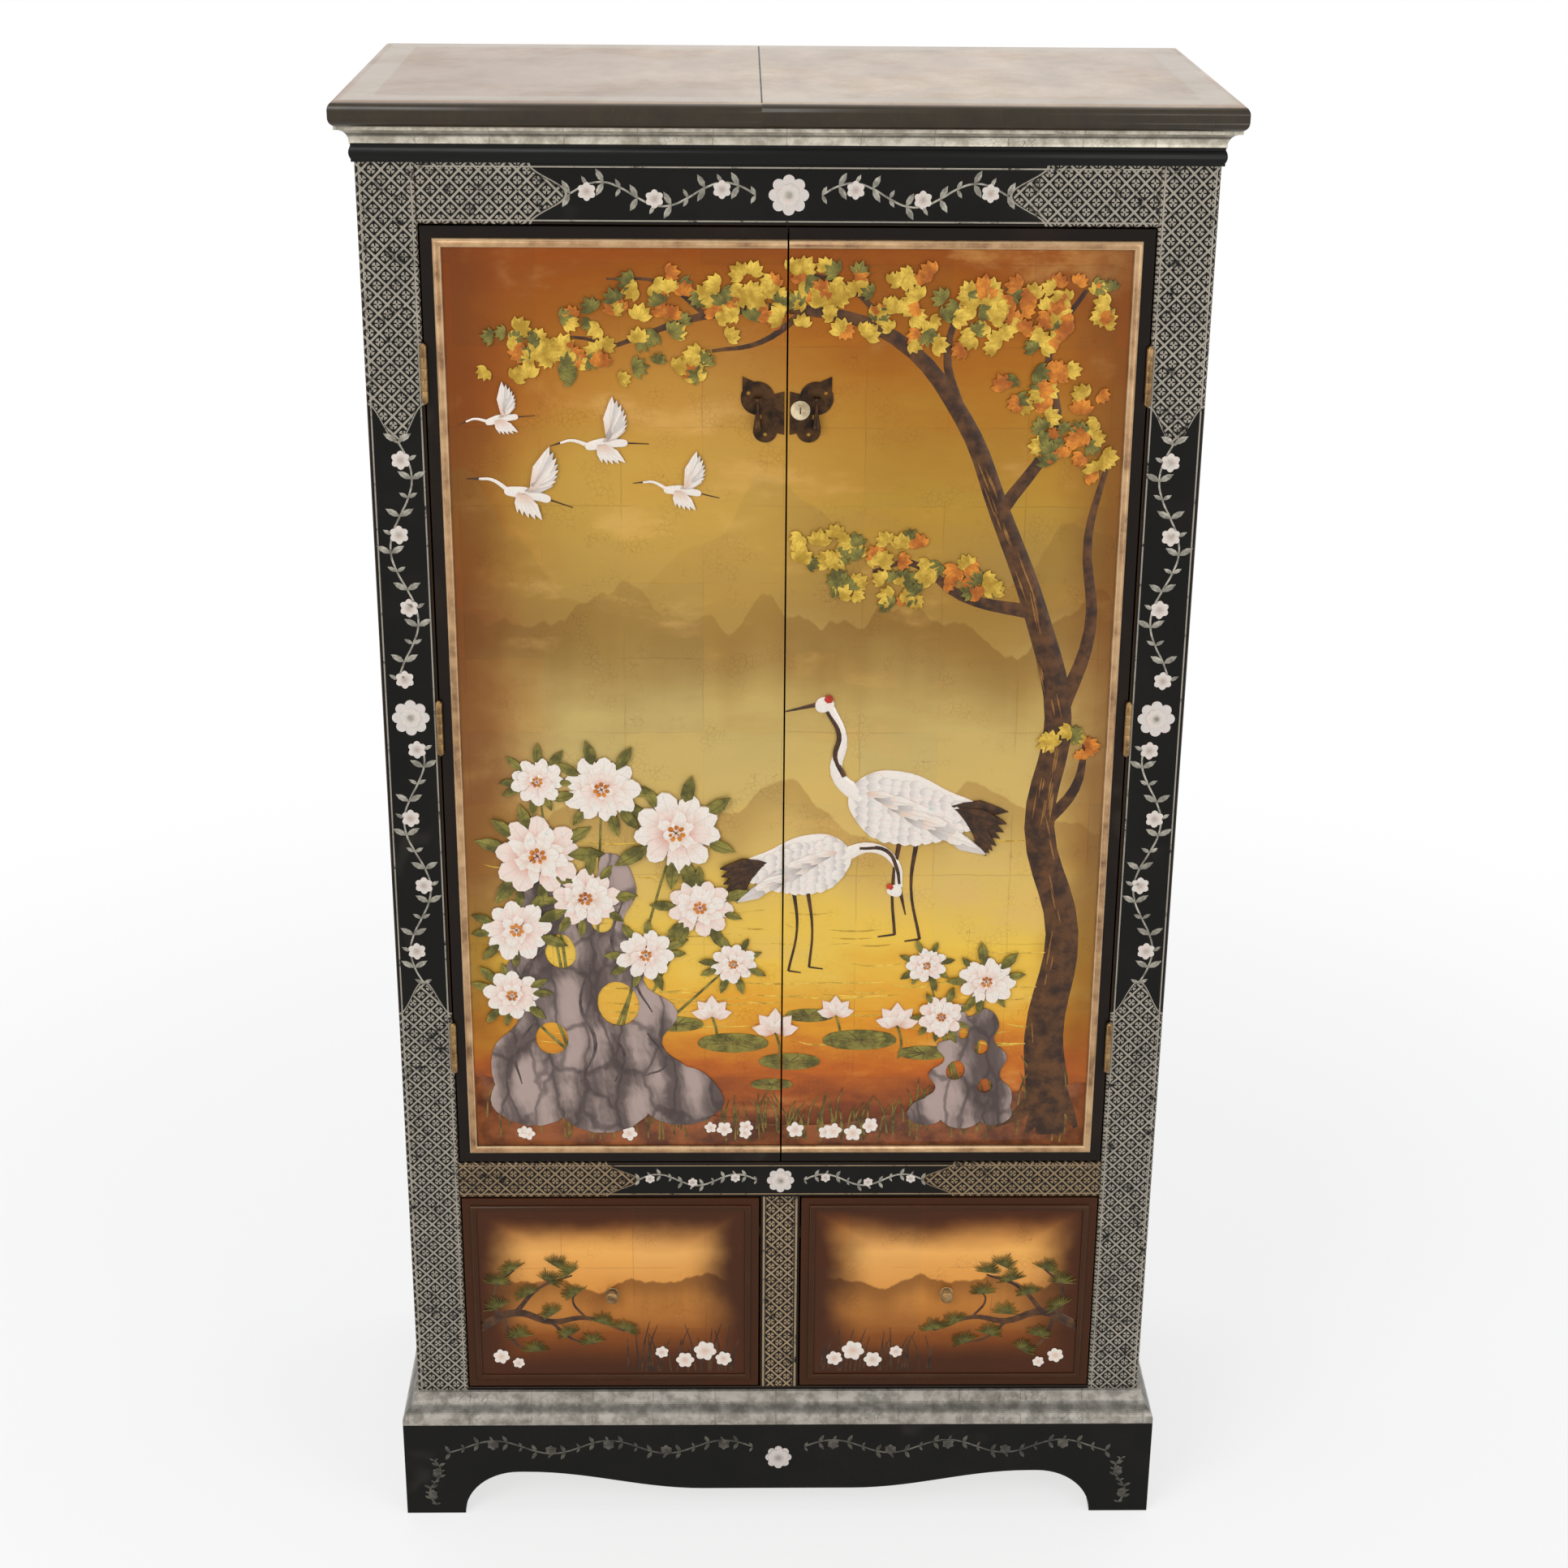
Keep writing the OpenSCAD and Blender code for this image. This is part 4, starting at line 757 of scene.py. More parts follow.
def finishPiece(pieces, name, material, face):
    only(pieces[0])
    for piece in pieces:
        piece.select_set(True)
    if len(pieces) > 1:
        bpy.ops.object.join()
    bpy.ops.object.mode_set(mode="EDIT")
    bpy.ops.mesh.select_all(action="SELECT")
    bpy.ops.mesh.remove_doubles(threshold=0.000004)
    bpy.ops.mesh.normals_make_consistent(inside=False)
    bpy.ops.object.mode_set(mode="OBJECT")
    bpy.ops.object.shade_smooth_by_angle(angle=math.radians(50))
    made = bpy.context.object
    made.name = name
    made.data.materials.clear()
    made.data.materials.append(bpy.data.materials[material])
    if face in pictures:
        rideHalves(made, face)
    else:
        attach(made, "carcass")


# One small closed shape, from its root at the origin to its tip one unit up, to be copied many times
def petal(name, sides, width, root, tip, rise=0.05, thick=0.05):
    bpy.ops.object.select_all(action="DESELECT")
    bpy.ops.mesh.primitive_circle_add(vertices=sides, radius=0.5, fill_type="TRIFAN")
    shape = bpy.context.object
    shape.name = name
    bpy.ops.object.mode_set(mode="EDIT")
    bpy.ops.mesh.select_all(action="SELECT")
    bpy.ops.mesh.extrude_region_move(TRANSFORM_OT_translate={"value": (0, 0, thick)})
    bpy.ops.object.mode_set(mode="OBJECT")
    for corner in shape.data.vertices:
        along = corner.co.y + 0.5
        if corner.co.z > thick / 2:
            corner.co.z += rise if corner.co.length < 0.2 else 0
        else:
            corner.co.z -= 0.03  # set into the ground a little
        nearRoot = root + (1 - root) * min(1, along * 2)
        nearTip = tip + (1 - tip) * min(1, (1 - along) * 2)
        corner.co.x *= width * nearRoot * nearTip
        corner.co.y = along
    marks = shape.data.uv_layers.new(name="lengthways")  # across, and 1 at the root to 0 at the tip
    for loop in shape.data.loops:
        spot = shape.data.vertices[loop.vertex_index].co
        marks.data[loop.index].uv = (spot.x + 0.5, 1 - spot.y)
    shape.hide_render = True
    shapesMade.append(shape)
    return shape


# Copies of one shape at (x, z, turn clockwise from upright, size, lift), joined into one piece
def strew(name, shape, places, lift, material, tilt=0.08, face="door"):
    rng = random.Random(name)
    copies = []
    for x, z, turn, size, *more in places:
        one = shape.copy()
        one.data = shape.data.copy()
        one.hide_render = False
        lean = Matrix.Rotation(rng.uniform(-tilt, tilt), 4, "Z")
        front = faces[face] - lift - (rng.uniform(0, 0.0005) + (more[0] if more else 0))
        one.data.transform(Matrix.Translation((x, front, z)) @ lean @ Matrix.Rotation(turn, 4, "Y") @ stand
                           @ Matrix.Scale(size, 4))
        bpy.context.collection.objects.link(one)
        copies.append(one)
    finishPiece(copies, name, material, face)


def drawnCurve(name, dimensions, runs, closed):
    curve = bpy.data.curves.new(name, "CURVE")
    curve.dimensions = dimensions
    curve.bevel_resolution = 1
    curve.resolution_u = 5
    for run in runs:
        spline = curve.splines.new("BEZIER")
        spline.bezier_points.add(len(run) - 1)
        spline.use_cyclic_u = closed
        for point, (x, z, *half) in zip(spline.bezier_points, run):
            point.co = (x, z, 0)
            point.radius = half[0] if half else 1
            point.handle_left_type = point.handle_right_type = "AUTO"
    drawn = bpy.data.objects.new(name, curve)
    bpy.context.collection.objects.link(drawn)
    return drawn


def standUp(drawn, front, high=1):
    only(drawn)
    bpy.ops.object.convert(target="MESH")
    drawn = bpy.context.object
    drawn.data.transform(Matrix.Translation((0, front, 0)) @ stand @ Matrix.Diagonal((1, 1, high, 1)))
    return drawn


# Drawn lines: each run is a list of (x, z, half width), smoothed, rounded and pressed flatter
def strokes(name, runs, lift, material, high, face="door"):
    drawn = drawnCurve(name, "3D", runs, False)
    drawn.data.bevel_depth = 1
    drawn.data.use_fill_caps = True
    finishPiece([standUp(drawn, faces[face] - lift, high)], name, material, face)


# Flat pieces with rounded rims: a group is an outline of (x, z) with its holes, and lies on the one before
def plaques(name, groups, thick, lift, material, layer=0.0):
    cut = []
    for number, outlines in enumerate(groups):
        drawn = drawnCurve(name, "2D", outlines, True)
        drawn.data.fill_mode = "BOTH"
        drawn.data.extrude = drawn.data.bevel_depth = thick / 2
        drawn.data.offset = -thick / 2
        cut.append(standUp(drawn, faces["door"] - lift - layer * number))
    finishPiece(cut, name, material, "door")


# Points (x, z, half width) in millimetres about a place in metres, sized, turned and mirrored
def placed(points, at=(0, 0), size=1.0, flip=1, turn=0.0):
    reach = size / 1000
    return [(at[0] + flip * reach * (x * math.cos(turn) + z * math.sin(turn)),
             at[1] + reach * (z * math.cos(turn) - x * math.sin(turn)), *[half * reach for half in halves])
            for x, z, *halves in points]


def clearOfPull(x, z, room):
    return abs(x) > 0.06 + room or not 1.42 - room < z < 1.545 + room


def ring(count, spin=0.0):
    return [spin + 2 * math.pi * spoke / count for spoke in range(count)]


roundPetal = petal("roundPetal", 10, width=0.86, root=0.4, tip=0.85)
leafShape = petal("leafShape", 10, width=0.5, root=0.3, tip=0.15)
fullLeaf = petal("fullLeaf", 10, width=0.68, root=0.55, tip=0.2)
plumeShape = petal("plumeShape", 8, width=0.3, root=0.5, tip=0.35, rise=0.03)
needleShape = petal("needleShape", 6, width=0.085, root=0.8, tip=0.3, rise=0.02, thick=0.04)
dotShape = petal("dotShape", 6, width=1.0, root=0.9, tip=0.9, rise=0.12)
print("relief shapes")


# Banks of the lake, with grass and small blossoms

bank = {"top": [(-396, 640), (-340, 636), (-270, 618), (-200, 612), (-130, 594), (-60, 584), (10, 574),
                (80, 578), (140, 590), (200, 604), (260, 618), (320, 622), (396, 626)],
        "blades": 190, "bladeHigh": (0.022, 0.058), "tufts": 30, "petalLong": (0.007, 0.012),
        "taken": [(-0.37, -0.062, 0.574), (0.146, 0.38, 0.55)]}  # from, to, and where rocks or roots begin


def bankTop(x):
    for (x0, z0), (x1, z1) in zip(bank["top"], bank["top"][1:]):
        if x0 <= x * 1000 <= x1:
            return (z0 + (z1 - z0) * (x * 1000 - x0) / (x1 - x0)) / 1000


rng = random.Random(23)
blades, tufts = [], []
for _ in range(bank["blades"]):
    x = rng.uniform(-0.368, 0.368)
    foot = rng.uniform(0.55, bankTop(x))
    high = rng.uniform(*bank["bladeHigh"])
    lean = rng.uniform(-0.35, 0.35) * high
    blades.append([(x, foot, 0.0014), (x + lean * 0.3, foot + high * 0.6, 0.0011),
                   (x + lean, foot + high, 0.0004)])
for number in range(bank["tufts"]):
    x = rng.uniform(-0.36, 0.36)
    z = rng.uniform(0.562, max(0.575, bankTop(x) - 0.006))
    size = rng.uniform(*bank["petalLong"])
    if not any(low < x < high and z > ground for low, high, ground in bank["taken"]):
        tufts += [(x, z, turn, size) for turn in ring(5, number)]
plaques("lakeBank", [[placed([(-396, 540)] + bank["top"] + [(396, 540)])]], 0.0008, 0, "bankEarth")
strokes("bankGrass", blades, 0.0006, "grassLine", 0.5)
strew("bankBlossoms", roundPetal, tufts, 0.001, "shell")


# The lake: ripples, lotus pads and lotus flowers

lotus = {"pads": [(-60, 690, 44), (10, 664, 38), (96, 694, 46), (-130, 716, 34), (34, 728, 30),
                  (176, 676, 32), (-12, 632, 26)],
         "flowers": [(-86, 728, 26), (-8, 706, 30), (66, 730, 24), (142, 716, 28), (200, 706, 17)],
         "back": (-1.35, -0.72, 0.0, 0.72, 1.35), "front": (-1.05, 1.05, -0.38, 0.38), "ripples": 70}
rippleRuns = []
for _ in range(lotus["ripples"]):
    x, z = rng.uniform(-0.36, 0.36), rng.triangular(0.65, 1.0, 0.72)
    half, dip = rng.uniform(0.02, 0.06), rng.uniform(0.001, 0.004)
    if abs(x) + half < 0.372 and z > bankTop(x) + 0.01:
        rippleRuns.append([(x - half, z, 0.0003), (x - half * 0.4, z - dip, 0.001),
                           (x + half * 0.4, z - dip, 0.001), (x + half, z, 0.0003)])
strokes("lakeRipples", rippleRuns, 0, "yellowLeaf", 0.5)
pads, padVeins, backPetals, frontPetals, flowerStems = [], [], [], [], []
for x, z, wide in lotus["pads"]:
    notched = [(turn, 0.55 if abs(turn - math.pi) < 0.2 else 1) for turn in ring(11)]
    pads.append([placed([(x + wide * math.sin(turn) * share, z + 0.3 * wide * math.cos(turn))
                         for turn, share in notched])])
    for turn in ring(9, 0.35):
        rim = (x + 0.86 * wide * math.sin(turn), z + 0.25 * wide * math.cos(turn), 0.5)
        padVeins.append(placed([(x, z, 0.9), rim]))
for x, z, wide in lotus["flowers"]:
    backPetals += [(x / 1000, z / 1000, fan, wide * (1.1 - 0.1 * abs(fan)) / 1000) for fan in lotus["back"]]
    frontPetals += [(x / 1000, z / 1000, fan, wide * (0.8 - 0.06 * abs(fan)) / 1000, 0.0008)
                    for fan in lotus["front"]]
    flowerStems.append(placed([(x, z, 1.4), (x + 6, z - 26, 1.4), (x + 3, z - 48, 1.4)]))
plaques("lotusPads", pads, 0.0009, 0.0003, "oliveLeaf")
strokes("lotusVeins", padVeins, 0.0012, "grassLine", 0.6)
strokes("lotusStems", flowerStems, 0.0008, "oliveLeaf", 0.5)
strew("lotusBackPetals", fullLeaf, backPetals, 0.0013, "rosyShell")
strew("lotusFrontPetals", fullLeaf, frontPetals, 0.0015, "shell")
print("lake and banks")


# The tree that leans over the lake. A cloud of leaves is its middle, half width and number of sprigs.

maple = {"trunk": [(338, 562, 20), (332, 622, 27), (324, 700, 24), (340, 840, 20), (306, 980, 18),
                   (322, 1120, 16), (290, 1250, 14), (244, 1370, 12), (198, 1480, 10), (120, 1571, 8),
                   (20, 1602, 6), (-90, 1596, 4.5), (-190, 1562, 2.5)],
         "branches": [[(322, 1120, 10), (354, 1230, 7), (346, 1340, 5), (364, 1430, 3)],
                      [(290, 1250, 9), (204, 1270, 6), (144, 1310, 4), (100, 1300, 2)],
                      [(244, 1370, 8), (302, 1470, 6), (292, 1560, 4), (330, 1626, 2.5)],
                      [(198, 1480, 6), (178, 1556, 4.5), (200, 1626, 2.5)],
                      [(20, 1602, 4.5), (-30, 1566, 3), (-84, 1556, 2)],
                      [(306, 980, 9), (346, 1030, 6), (356, 1090, 3)],
                      [(120, 1571, 4.5), (70, 1626, 3), (10, 1646, 1.8)],
                      [(-90, 1596, 3), (-140, 1632, 2), (-200, 1636, 1.4)],
                      [(-190, 1562, 2.4), (-250, 1570, 1.6), (-300, 1546, 1)]],
         "roots": [[(330, 650, 18), (304, 596, 13), (262, 570, 5)],
                   [(334, 630, 18), (316, 580, 11), (304, 554, 4)],
                   [(338, 620, 18), (346, 576, 11), (350, 552, 4)],
                   [(338, 640, 16), (360, 594, 10), (373, 562, 5)]],
         "clouds": [(-300, 1548, 44, 12), (-212, 1560, 62, 18), (-124, 1612, 62, 20), (-26, 1618, 56, 18),
                    (70, 1612, 60, 20), (166, 1600, 64, 22), (260, 1596, 58, 20), (330, 1604, 46, 16),
                    (334, 1450, 50, 16), (108, 1300, 62, 20), (52, 1326, 38, 9), (196, 1286, 42, 9),
                    (-84, 1548, 40, 10), (296, 1506, 46, 12), (346, 1090, 34, 9)],
         "sprig": (-1.05, -0.5, 0.0, 0.5, 1.05), "furrows": 46, "leafLong": (0.014, 0.021)}
furrows = []
for _ in range(maple["furrows"]):
    along = rng.uniform(1.1, 7.4)
    start, share = int(along), along % 1
    (x0, z0, half0), (x1, z1, half1) = maple["trunk"][start:start + 2]
    x, z, half = x0 + (x1 - x0) * share, z0 + (z1 - z0) * share, half0 + (half1 - half0) * share
    side = rng.uniform(-0.62, 0.62) * half
    slope = (x1 - x0) / (z1 - z0)
    long = rng.uniform(16, 40)
    furrows.append(placed([(x + side, z, 0.4), (x + side + slope * long / 2, z + long / 2, 1.3),
                           (x + side + slope * long, z + long, 0.4)]))
wooden = [placed(run) for run in [maple["trunk"]] + maple["branches"] + maple["roots"]]
strokes("treeTrunk", wooden, 0, "bark", 0.15)
strokes("barkFurrows", furrows, 0.0022, "barkLight", 0.9)

rng = random.Random(11)
leaves = {"yellow": [], "amber": [], "olive": []}
for x, z, wide, sprigs in maple["clouds"]:
    for _ in range(int(1.7 * sprigs)):
        turn, out = rng.uniform(0, 2 * math.pi), wide * math.sqrt(rng.random())
        at = ((x + 1.2 * out * math.sin(turn)) / 1000, (z + 0.7 * out * math.cos(turn)) / 1000)
        size, aim = rng.uniform(*maple["leafLong"]), rng.uniform(-2.4, 2.4)
        if abs(at[0]) < 0.358 and at[1] < 1.65 and clearOfPull(*at, 0.026):
            kind = rng.choices(("yellow", "amber", "olive"), (6, 2, 3) if x < 230 else (3, 3, 3))[0]
            lift = rng.uniform(0, 0.0012)
            leaves[kind] += [(*at, aim + fan, size * (1 - 0.18 * abs(fan)), lift) for fan in maple["sprig"]]
for kind, places in leaves.items():
    strew(kind + "Leaves", leafShape if kind == "olive" else fullLeaf, places, 0.001, kind + "Leaf")
print("tree with", sum(len(places) for places in leaves.values()), "leaves")


# Garden rocks with peonies. A ring of petals is its count, and its start and length as shares of the bloom.

rocks = {"places": [((-0.236, 0.612), 1.1, 1), ((0.232, 0.592), 0.5, -1)],  # foot, size, -1 is mirrored
         "outline": [(-95, 0), (-110, 60), (-78, 105), (-94, 160), (-60, 205), (-72, 250), (-35, 292),
                     (5, 270), (22, 304), (54, 262), (40, 215), (80, 190), (60, 150), (98, 110), (80, 70),
                     (114, 30), (104, 0), (40, -12), (-40, -12)],
         "holes": [[(-46, 176), (-34, 206), (-16, 194), (-22, 166)],
                   [(14, 104), (22, 146), (52, 132), (44, 96)],
                   [(-58, 66), (-50, 96), (-28, 88), (-32, 60)],
                   [(4, 218), (14, 240), (28, 224), (18, 208)]],
         "creases": [[(-78, 20, 1.2), (-84, 60, 2.4), (-60, 100, 1.2)],
                     [(-66, 130, 1), (-72, 158, 2.2), (-44, 200, 1.6), (-50, 244, 1)],
                     [(60, 30, 1.4), (84, 44, 2.4), (64, 84, 1.2)],
                     [(70, 110, 1), (52, 150, 2.2), (62, 184, 1.2)],
                     [(-8, 30, 1), (6, 70, 2.4), (-10, 120, 2), (2, 170, 1)],
                     [(-6, 200, 1), (-14, 236, 2.2), (4, 262, 1)], [(30, 178, 1), (26, 200, 2), (40, 250, 1)],
                     [(26, 20, 1), (38, 56, 2), (24, 84, 1)]],
         "stones": [[(-108, -16), (-104, 26), (-72, 44), (-36, 30), (-24, -16)],
                    [(58, -14), (68, 34), (104, 42), (138, 22), (146, -14)],
                    [(-34, -22), (-24, 14), (20, 24), (56, 6), (62, -22)]]}
peonies = {"blooms": [(-322, 846, 44), (-294, 944, 54), (-216, 1030, 48), (-128, 974, 56), (-100, 876, 42),
                      (-166, 812, 38), (-330, 758, 36), (-238, 888, 44), (-292, 1040, 34), (-60, 800, 30),
                      (196, 728, 30), (250, 776, 36), (176, 798, 26)],
           "rings": ((9, 0.34, 0.62), (8, 0.2, 0.54), (6, 0.08, 0.42), (4, 0.02, 0.28)),
           "leftFoot": (-236, 660), "rightFoot": (232, 610)}
groups, creases = [], []
for place in rocks["places"]:
    groups.append([placed(shape, *place) for shape in [rocks["outline"]] + rocks["holes"]])
    groups += [[placed(shape, *place)] for shape in rocks["stones"]]
    creases += [placed(run, *place) for run in rocks["creases"]]
plaques("gardenRocks", groups, 0.0014, 0.0007, "rockGrey", 0.0002)
strokes("rockCreases", creases, 0.0019, "rockDark", 0.5)

rng = random.Random(5)
petals = {"shell": [], "rosy": []}
hearts, leafPlaces, stems = [], [], []
for number, (x, z, wide) in enumerate(peonies["blooms"]):
    spin = rng.uniform(0, 1)
    for layer, (count, start, long) in enumerate(peonies["rings"]):
        for turn in ring(count, spin + 0.35 * layer):
            turn += rng.uniform(-0.12, 0.12)
            out = wide * start / 1000
            petals["rosy" if (layer + number) % 3 == 1 else "shell"].append(
                (x / 1000 + out * math.sin(turn), z / 1000 + 0.85 * out * math.cos(turn), turn,
                 wide * long * rng.uniform(0.9, 1.1) / 1000, 0.0007 * layer))
    inner, dot = wide * 0.00008, wide * 0.00013
    hearts += [(x / 1000 + inner * math.sin(turn), z / 1000 + inner * math.cos(turn), turn, dot)
               for turn in ring(7)]
    for turn in ring(8, spin):
        turn += rng.uniform(-0.3, 0.3)
        at = ((x + wide * 0.66 * math.sin(turn)) / 1000, (z + wide * 0.6 * math.cos(turn)) / 1000)
        leafPlaces.append((*at, turn, wide * rng.uniform(0.6, 0.9) / 1000))
    footX, footZ = peonies["leftFoot" if x < 0 else "rightFoot"]
    stems.append(placed([(footX + 0.3 * (x - footX), footZ + 20, 2.2),
                         (footX * 0.4 + x * 0.6, (footZ + z) / 2, 1.8), (x, z, 1.2)]))
strokes("peonyStems", stems, 0.0003, "oliveLeaf", 0.5)
strew("peonyLeaves", leafShape, leafPlaces, 0.0022, "oliveLeaf")
strew("peonyPetals", roundPetal, petals["shell"], 0.0026, "shell")
strew("peonyRosyPetals", roundPetal, petals["rosy"], 0.0026, "rosyShell")
strew("peonyHearts", dotShape, hearts, 0.0056, "amberLeaf")
print("rocks and peonies")


# Cranes: two that stand in the water and four in the air. A flying crane's wing is its count of feathers and
# their root, turn, length and finishes.

crane = {"body": [(-46, 150), (-54, 178), (-34, 205), (8, 210), (58, 188), (104, 152), (64, 140), (20, 124),
                  (-18, 124)],
         "legs": [[(4, 0, 1.8), (0, 60, 1.6), (8, 128, 3)], [(34, -6, 1.8), (22, 62, 1.6), (28, 128, 3)],
                  [(4, 0, 1.4), (-16, -3, 1)], [(34, -6, 1.4), (16, -9, 1)]],
         "upright": {"head": [(-94, 290), (-90, 300), (-79, 301), (-72, 292), (-79, 285), (-90, 284)],
                     "neck": [(-38, 176, 11), (-68, 208, 7.5), (-62, 250, 5.5), (-78, 292, 5)],
                     "throat": [(-60, 204, 3.4), (-70, 228, 3), (-66, 256, 3), (-80, 284, 2)],
                     "beak": [(-90, 293, 2.8), (-128, 284, 0.9)], "crown": (-84, 299)},
         "bending": {"head": [(-128, 120), (-124, 130), (-113, 131), (-106, 122), (-113, 115), (-124, 114)],
                     "neck": [(-38, 176, 11), (-84, 190, 7.5), (-118, 166, 5.5), (-124, 128, 5)],
                     "throat": [(-66, 190, 3.2), (-104, 186, 3), (-120, 158, 2.6), (-124, 134, 2)],
                     "beak": [(-126, 120, 2.8), (-134, 84, 0.9)], "crown": (-116, 128)},
         "wing": (((-34, 184, 38, 1.72), 6, 9, -6), ((-20, 178, 50, 1.76), 6, 11, -7),
                  ((-6, 170, 62, 1.8), 6, 12, -7)),  # first feather's root, length and turn, count, steps
         "down": [(-46, 5, 152, 11), (-34, 7, 138, 11), (-22, 7, 132, 11), (-10, 7, 130, 11), (2, 7, 128, 11),
                  (14, 7, 128, 11), (26, 6, 130, 11), (38, 6, 132, 10), (50, 5, 136, 10), (62, 4, 142, 9),
                  (74, 3, 146, 8)],  # column, count, lowest and apart
         "standing": [((0.132, 0.838), 1.02, 1, "upright"), ((0.036, 0.794), 0.84, -1, "bending")],
         "plumes": {"count": 8, "root": (66, 168), "apart": 4, "turn": (1.7, 0.15), "long": (68, 4)},
         "flyingBody": [(-24, -2), (-10, 6), (14, 5), (30, -2), (12, -6), (-8, -7)],
         "flyingNeck": [(-20, 0, 2.6), (-40, 8, 1.8), (-54, 6, 1.3)],
         "flyingLines": [[(26, -2, 1), (56, -6, 0.6)], [(-54, 6, 1.3), (-68, 3, 0.4)]],  # legs and beak
         "flyingWings": [(8, (6, -1, 3), (0.2, 0.14), (58, 3.5), ("shell", "mist")),
                         (5, (0, -2, 0), (2.4, 0.15), (36, 3), ("shell", "shell"))],
         "flying": [(-296, 1392, 1.0, 0.2), (-206, 1450, 0.9, -0.1), (-120, 1396, 0.8, 0.1),
                    (-322, 1478, 0.7, -0.2)]}
bodies, legs, whites, darks, plumes, crowns, down = [], [], [], [], [], [], []
feathers = {"shell": [], "mist": []}
for at, size, flip, pose in crane["standing"]:
    place = (at, size, flip)
    held = crane[pose]
    bodies += [[placed(crane["body"], *place)], [placed(held["head"], *place)]]
    legs += [placed(run, *place) for run in crane["legs"] + [held["beak"]]]
    whites.append(placed(held["neck"], *place))
    darks.append(placed(held["throat"], *place))
    crowns.append((*placed([held["crown"]], *place)[0], flip * 1.4, 0.011 * size))
    for column, (across, count, lowest, apart) in enumerate(crane["down"]):
        for spot in placed([(across, lowest + apart * spoke) for spoke in range(count)], *place):
            down.append((*spot, flip * 1.85, 0.021 * size, 0.0006 - 0.00005 * column))
    for row, ((rootX, rootZ, long, fan), count, across, fall) in enumerate(crane["wing"]):
        roots = placed([(rootX + across * spoke, rootZ + fall * spoke) for spoke in range(count)], *place)
        for spoke, spot in enumerate(roots):
            feathers["mist" if spoke % 2 else "shell"].append(
                (*spot, flip * (fan + 0.05 * spoke), long * size / 1000, 0.0014 - 0.0005 * row))
    tail = crane["plumes"]
    (rootX, rootZ), (fan, opens), (long, less) = tail["root"], tail["turn"], tail["long"]
    roots = placed([(rootX + tail["apart"] * spoke, rootZ - tail["apart"] * spoke)
                    for spoke in range(tail["count"])], *place)
    plumes += [(*spot, flip * (fan + opens * spoke), (long - less * spoke) * size / 1000)
               for spoke, spot in enumerate(roots)]
for x, z, size, lean in crane["flying"]:
    place = ((x / 1000, z / 1000), size, 1, lean)
    bodies.append([placed(crane["flyingBody"], *place)])
    whites.append(placed(crane["flyingNeck"], *place))
    legs += [placed(run, *place) for run in crane["flyingLines"]]
    for count, (rootX, apart, rootZ), (fan, opens), (long, less), kinds in crane["flyingWings"]:
        roots = placed([(rootX + apart * spoke, rootZ) for spoke in range(count)], *place)
        for spoke, spot in enumerate(roots):
            feathers[kinds[spoke % 2]].append(
                (*spot, lean + fan + opens * spoke, (long - less * spoke) * size / 1000))
strokes("craneLegs", legs, 0.0004, "inkLine", 0.6)
plaques("craneBodies", bodies, 0.0014, 0.001, "shell")
strew("craneDown", roundPetal, down, 0.0021, "downShell", 0.05)
strokes("craneNecks", whites, 0.001, "shell", 0.35)
strokes("craneThroats", darks, 0.0024, "inkLine", 0.5)
strew("cranePlumes", plumeShape, plumes, 0.0014, "inkLine")
strew("craneFeathers", plumeShape, feathers["shell"], 0.0018, "shell", 0.02)
strew("craneMistFeathers", plumeShape, feathers["mist"], 0.0018, "mistShell", 0.02)
strew("craneCrowns", dotShape, crowns, 0.0018, "coral")
print("cranes")


# Drawer pictures: a pine bough, reeds and blossoms

drawers = {"bough": [(386, 276, 7), (340, 298, 5.5), (294, 284, 4.5), (250, 290, 3.2), (200, 270, 1.8)],
           "twigs": [[(340, 298, 3.4), (308, 336, 2.4), (266, 354, 1.3)],
                     [(294, 284, 2.6), (268, 258, 1.8), (238, 250, 1)],
                     [(356, 290, 3), (340, 250, 2), (314, 238, 1.2)],
                     [(250, 290, 2), (266, 318, 1.4), (258, 330, 0.9)],
                     [(362, 288, 3), (364, 336, 2), (340, 362, 1.2)]],
           "fans": [(268, 358), (298, 346), (200, 272), (242, 252), (316, 240), (262, 326), (292, 296),
                    (322, 326), (228, 282), (342, 362), (362, 342), (336, 262), (272, 264), (362, 306),
                    (286, 368)],
           "needles": 17, "needleLong": (0.015, 0.021),
           "blossoms": [(96, 240, 15), (122, 226, 12), (72, 228, 11), (152, 238, 9), (360, 232, 11),
                        (338, 222, 8)],
           "reeds": 24, "reedFoot": 208, "reedHigh": (26, 78)}
boughs, needles, blossoms, reeds = [], [], [], []
rng = random.Random(31)
for side in (-1, 1):
    boughs += [placed(run, flip=side) for run in [drawers["bough"]] + drawers["twigs"]]
    for x, z in drawers["fans"]:
        aim = rng.uniform(-0.7, 0.7)
        needles += [(side * x / 1000, z / 1000, aim + 0.19 * (spoke - 8), rng.uniform(*drawers["needleLong"]))
                    for spoke in range(drawers["needles"])]
    for x, z, wide in drawers["blossoms"]:
        blossoms += [(side * x / 1000, z / 1000, turn, wide / 1000) for turn in ring(6, x)]
    foot = drawers["reedFoot"]
    for _ in range(drawers["reeds"]):
        x, high = rng.uniform(50, 200), rng.uniform(*drawers["reedHigh"])
        lean = rng.uniform(-0.3, 0.3) * high
        blade = [(x, foot, 1.4), (x + lean * 0.4, foot + high * 0.6, 1.1), (x + lean, foot + high, 0.4)]
        reeds.append(placed(blade, flip=side))
strokes("pineBoughs", boughs, 0, "bark", 0.3, "drawer")
strew("pineNeedles", needleShape, needles, 0.0008, "oliveLeaf", face="drawer")
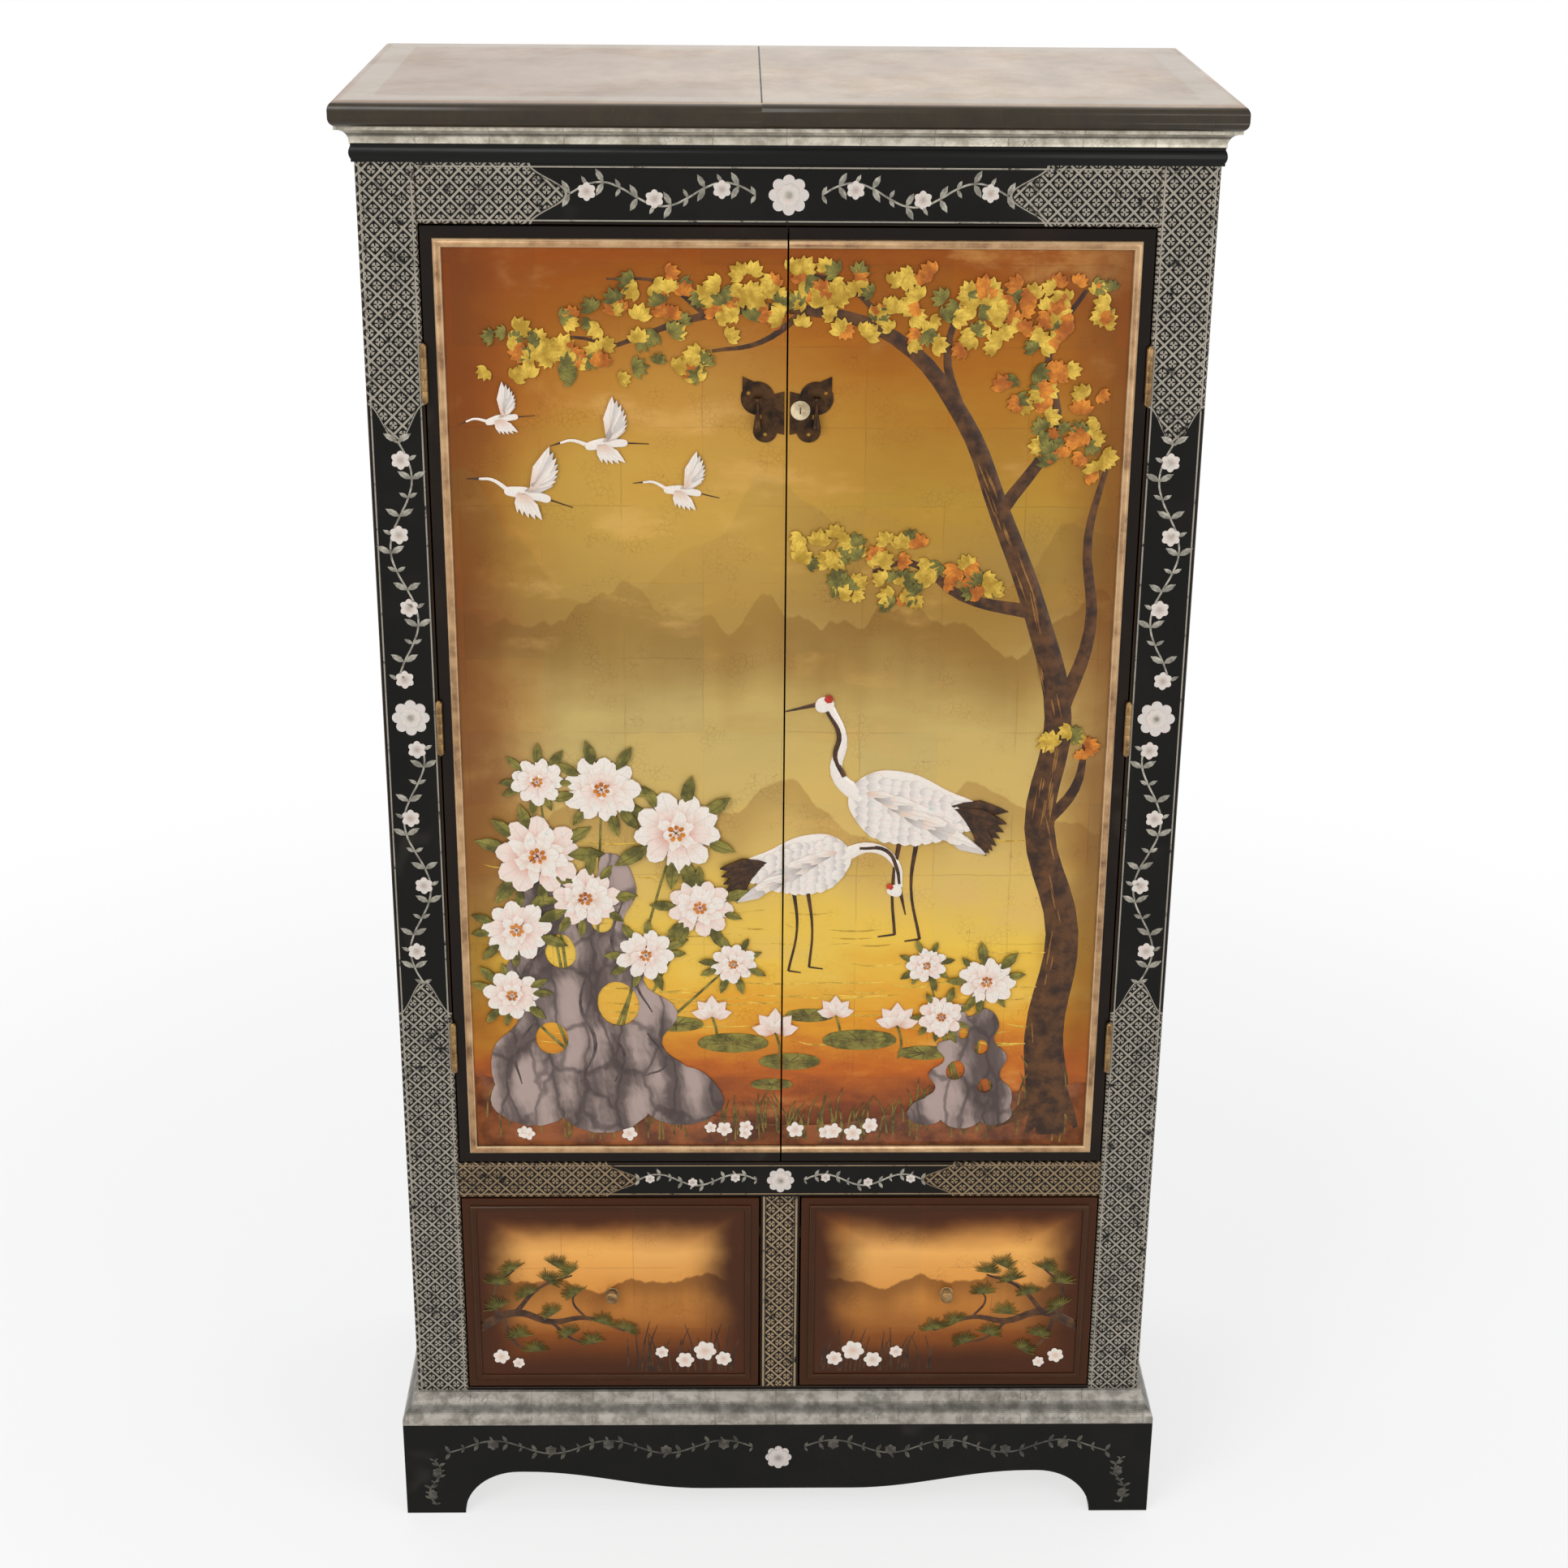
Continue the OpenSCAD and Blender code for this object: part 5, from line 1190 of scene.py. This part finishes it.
strokes("drawerReeds", reeds, 0, "inkLine", 0.5, "drawer")
strew("drawerBlossoms", roundPetal, blossoms, 0.0006, "shell", face="drawer")
print("drawer pictures")


# Silver vines with shell blossoms on the black of the frame and plinth, and petals on the rosettes. A vine
# spans a length of its board, swings about its middle in waves, and keeps clear of a rosette.

stileX, friezeZ, railZ = midway(stileWide), midway(friezeHigh), midway(railHigh)
rosettes = {"frame": [(-stileX, 1.1195), (stileX, 1.1195), (0, friezeZ), (0, railZ)], "plinth": (0, 0.088),
            "wide": 0.0125}
vines = {"frame": [{"upright": True, "span": (0.772, 1.452), "middle": stileX, "swing": 0.014, "wave": 0.17,
                    "clear": 1.1195},
                   {"span": (0.036, 0.238), "middle": friezeZ, "swing": 0.013, "wave": 0.135},
                   {"span": (0.03, 0.178), "middle": railZ, "swing": 0.008, "wave": 0.1}],
         "plinth": [{"span": (0.034, 0.43), "middle": 0.104, "swing": 0.010, "wave": 0.15},
                    {"upright": True, "span": (0.014, 0.084), "middle": 0.4515, "swing": 0.008,
                     "wave": 0.07}]}
vineFinish = {"frame": ("silverLine", "frameShell"), "plinth": ("dimSilver", "dimSilver")}
# Lengths of leaves and petals, and how far a blossom stands out, are shares of the vine's swing
vineShape = {"perWave": 8, "stem": 0.0011, "rosetteRoom": 0.034, "leafLean": 1.05, "leafLong": (0.85, 1.3),
             "blossomOut": 0.55, "petalLong": 0.8}


def growVine(place, side, runs, leafPlaces, flowers):
    upright = place.get("upright", False)
    low, high = place["span"]
    reach = high - low
    count = int(reach / place["wave"] * vineShape["perWave"])
    main = []
    for number in range(count + 1):
        along = low + reach * number / count
        swing = place["swing"] * math.sin(2 * math.pi * (along - low) / place["wave"])
        at = (side * (place["middle"] + swing), along) if upright else (side * along, place["middle"] + swing)
        main.append((*at, vineShape["stem"]))
        if "clear" in place and abs(along - place["clear"]) < vineShape["rosetteRoom"]:
            if len(main) > 2:
                runs.append(main[:-1])
            main = []
            continue
        for way in (-1, 1):
            lean = way * vineShape["leafLean"] + (0 if upright else side * math.pi / 2)
            leafPlaces.append((*at, lean, place["swing"] * vineShape["leafLong"][number % 2]))
        if number % 4 == 2:
            out = place["swing"] * vineShape["blossomOut"] * (-1 if swing > 0 else 1)
            middle = (at[0] + side * out, at[1]) if upright else (at[0], at[1] + out)
            flowers += [(*middle, turn, place["swing"] * vineShape["petalLong"]) for turn in ring(6)]
    if len(main) > 2:
        runs.append(main)


for face, places in vines.items():
    runs, leafPlaces, flowers = [], [], []
    for place in places:
        for side in (-1, 1):
            growVine(place, side, runs, leafPlaces, flowers)
    silver, petalFinish = vineFinish[face]
    strokes(face + "Vines", runs, 0, silver, 0.5, face)
    strew(face + "VineLeaves", leafShape, leafPlaces, 0, silver, face=face)
    strew(face + "Blossoms", roundPetal, flowers, 0.0004, petalFinish, face=face)

wide, petalTurns = rosettes["wide"], ring(8, 0.2)
rosettePetals = [(x, z, turn, wide) for x, z in rosettes["frame"] for turn in petalTurns]
rosetteHearts = [(x, z, turn, wide * 0.28, 0.0006) for x, z in rosettes["frame"] for turn in ring(6)]
plinthPetals = [(*rosettes["plinth"], turn, wide * 1.15) for turn in petalTurns]
strew("rosettePetals", roundPetal, rosettePetals, 0.0015, "frameShell", 0.02, "frame")
strew("rosetteHearts", dotShape, rosetteHearts, 0.002, "silverLine", 0.02, "frame")
strew("plinthRosettePetals", roundPetal, plinthPetals, -0.0004, "mistShell", 0.02, "rosettes")
print("vines and rosettes")

for shape in shapesMade:
    bpy.data.objects.remove(shape)
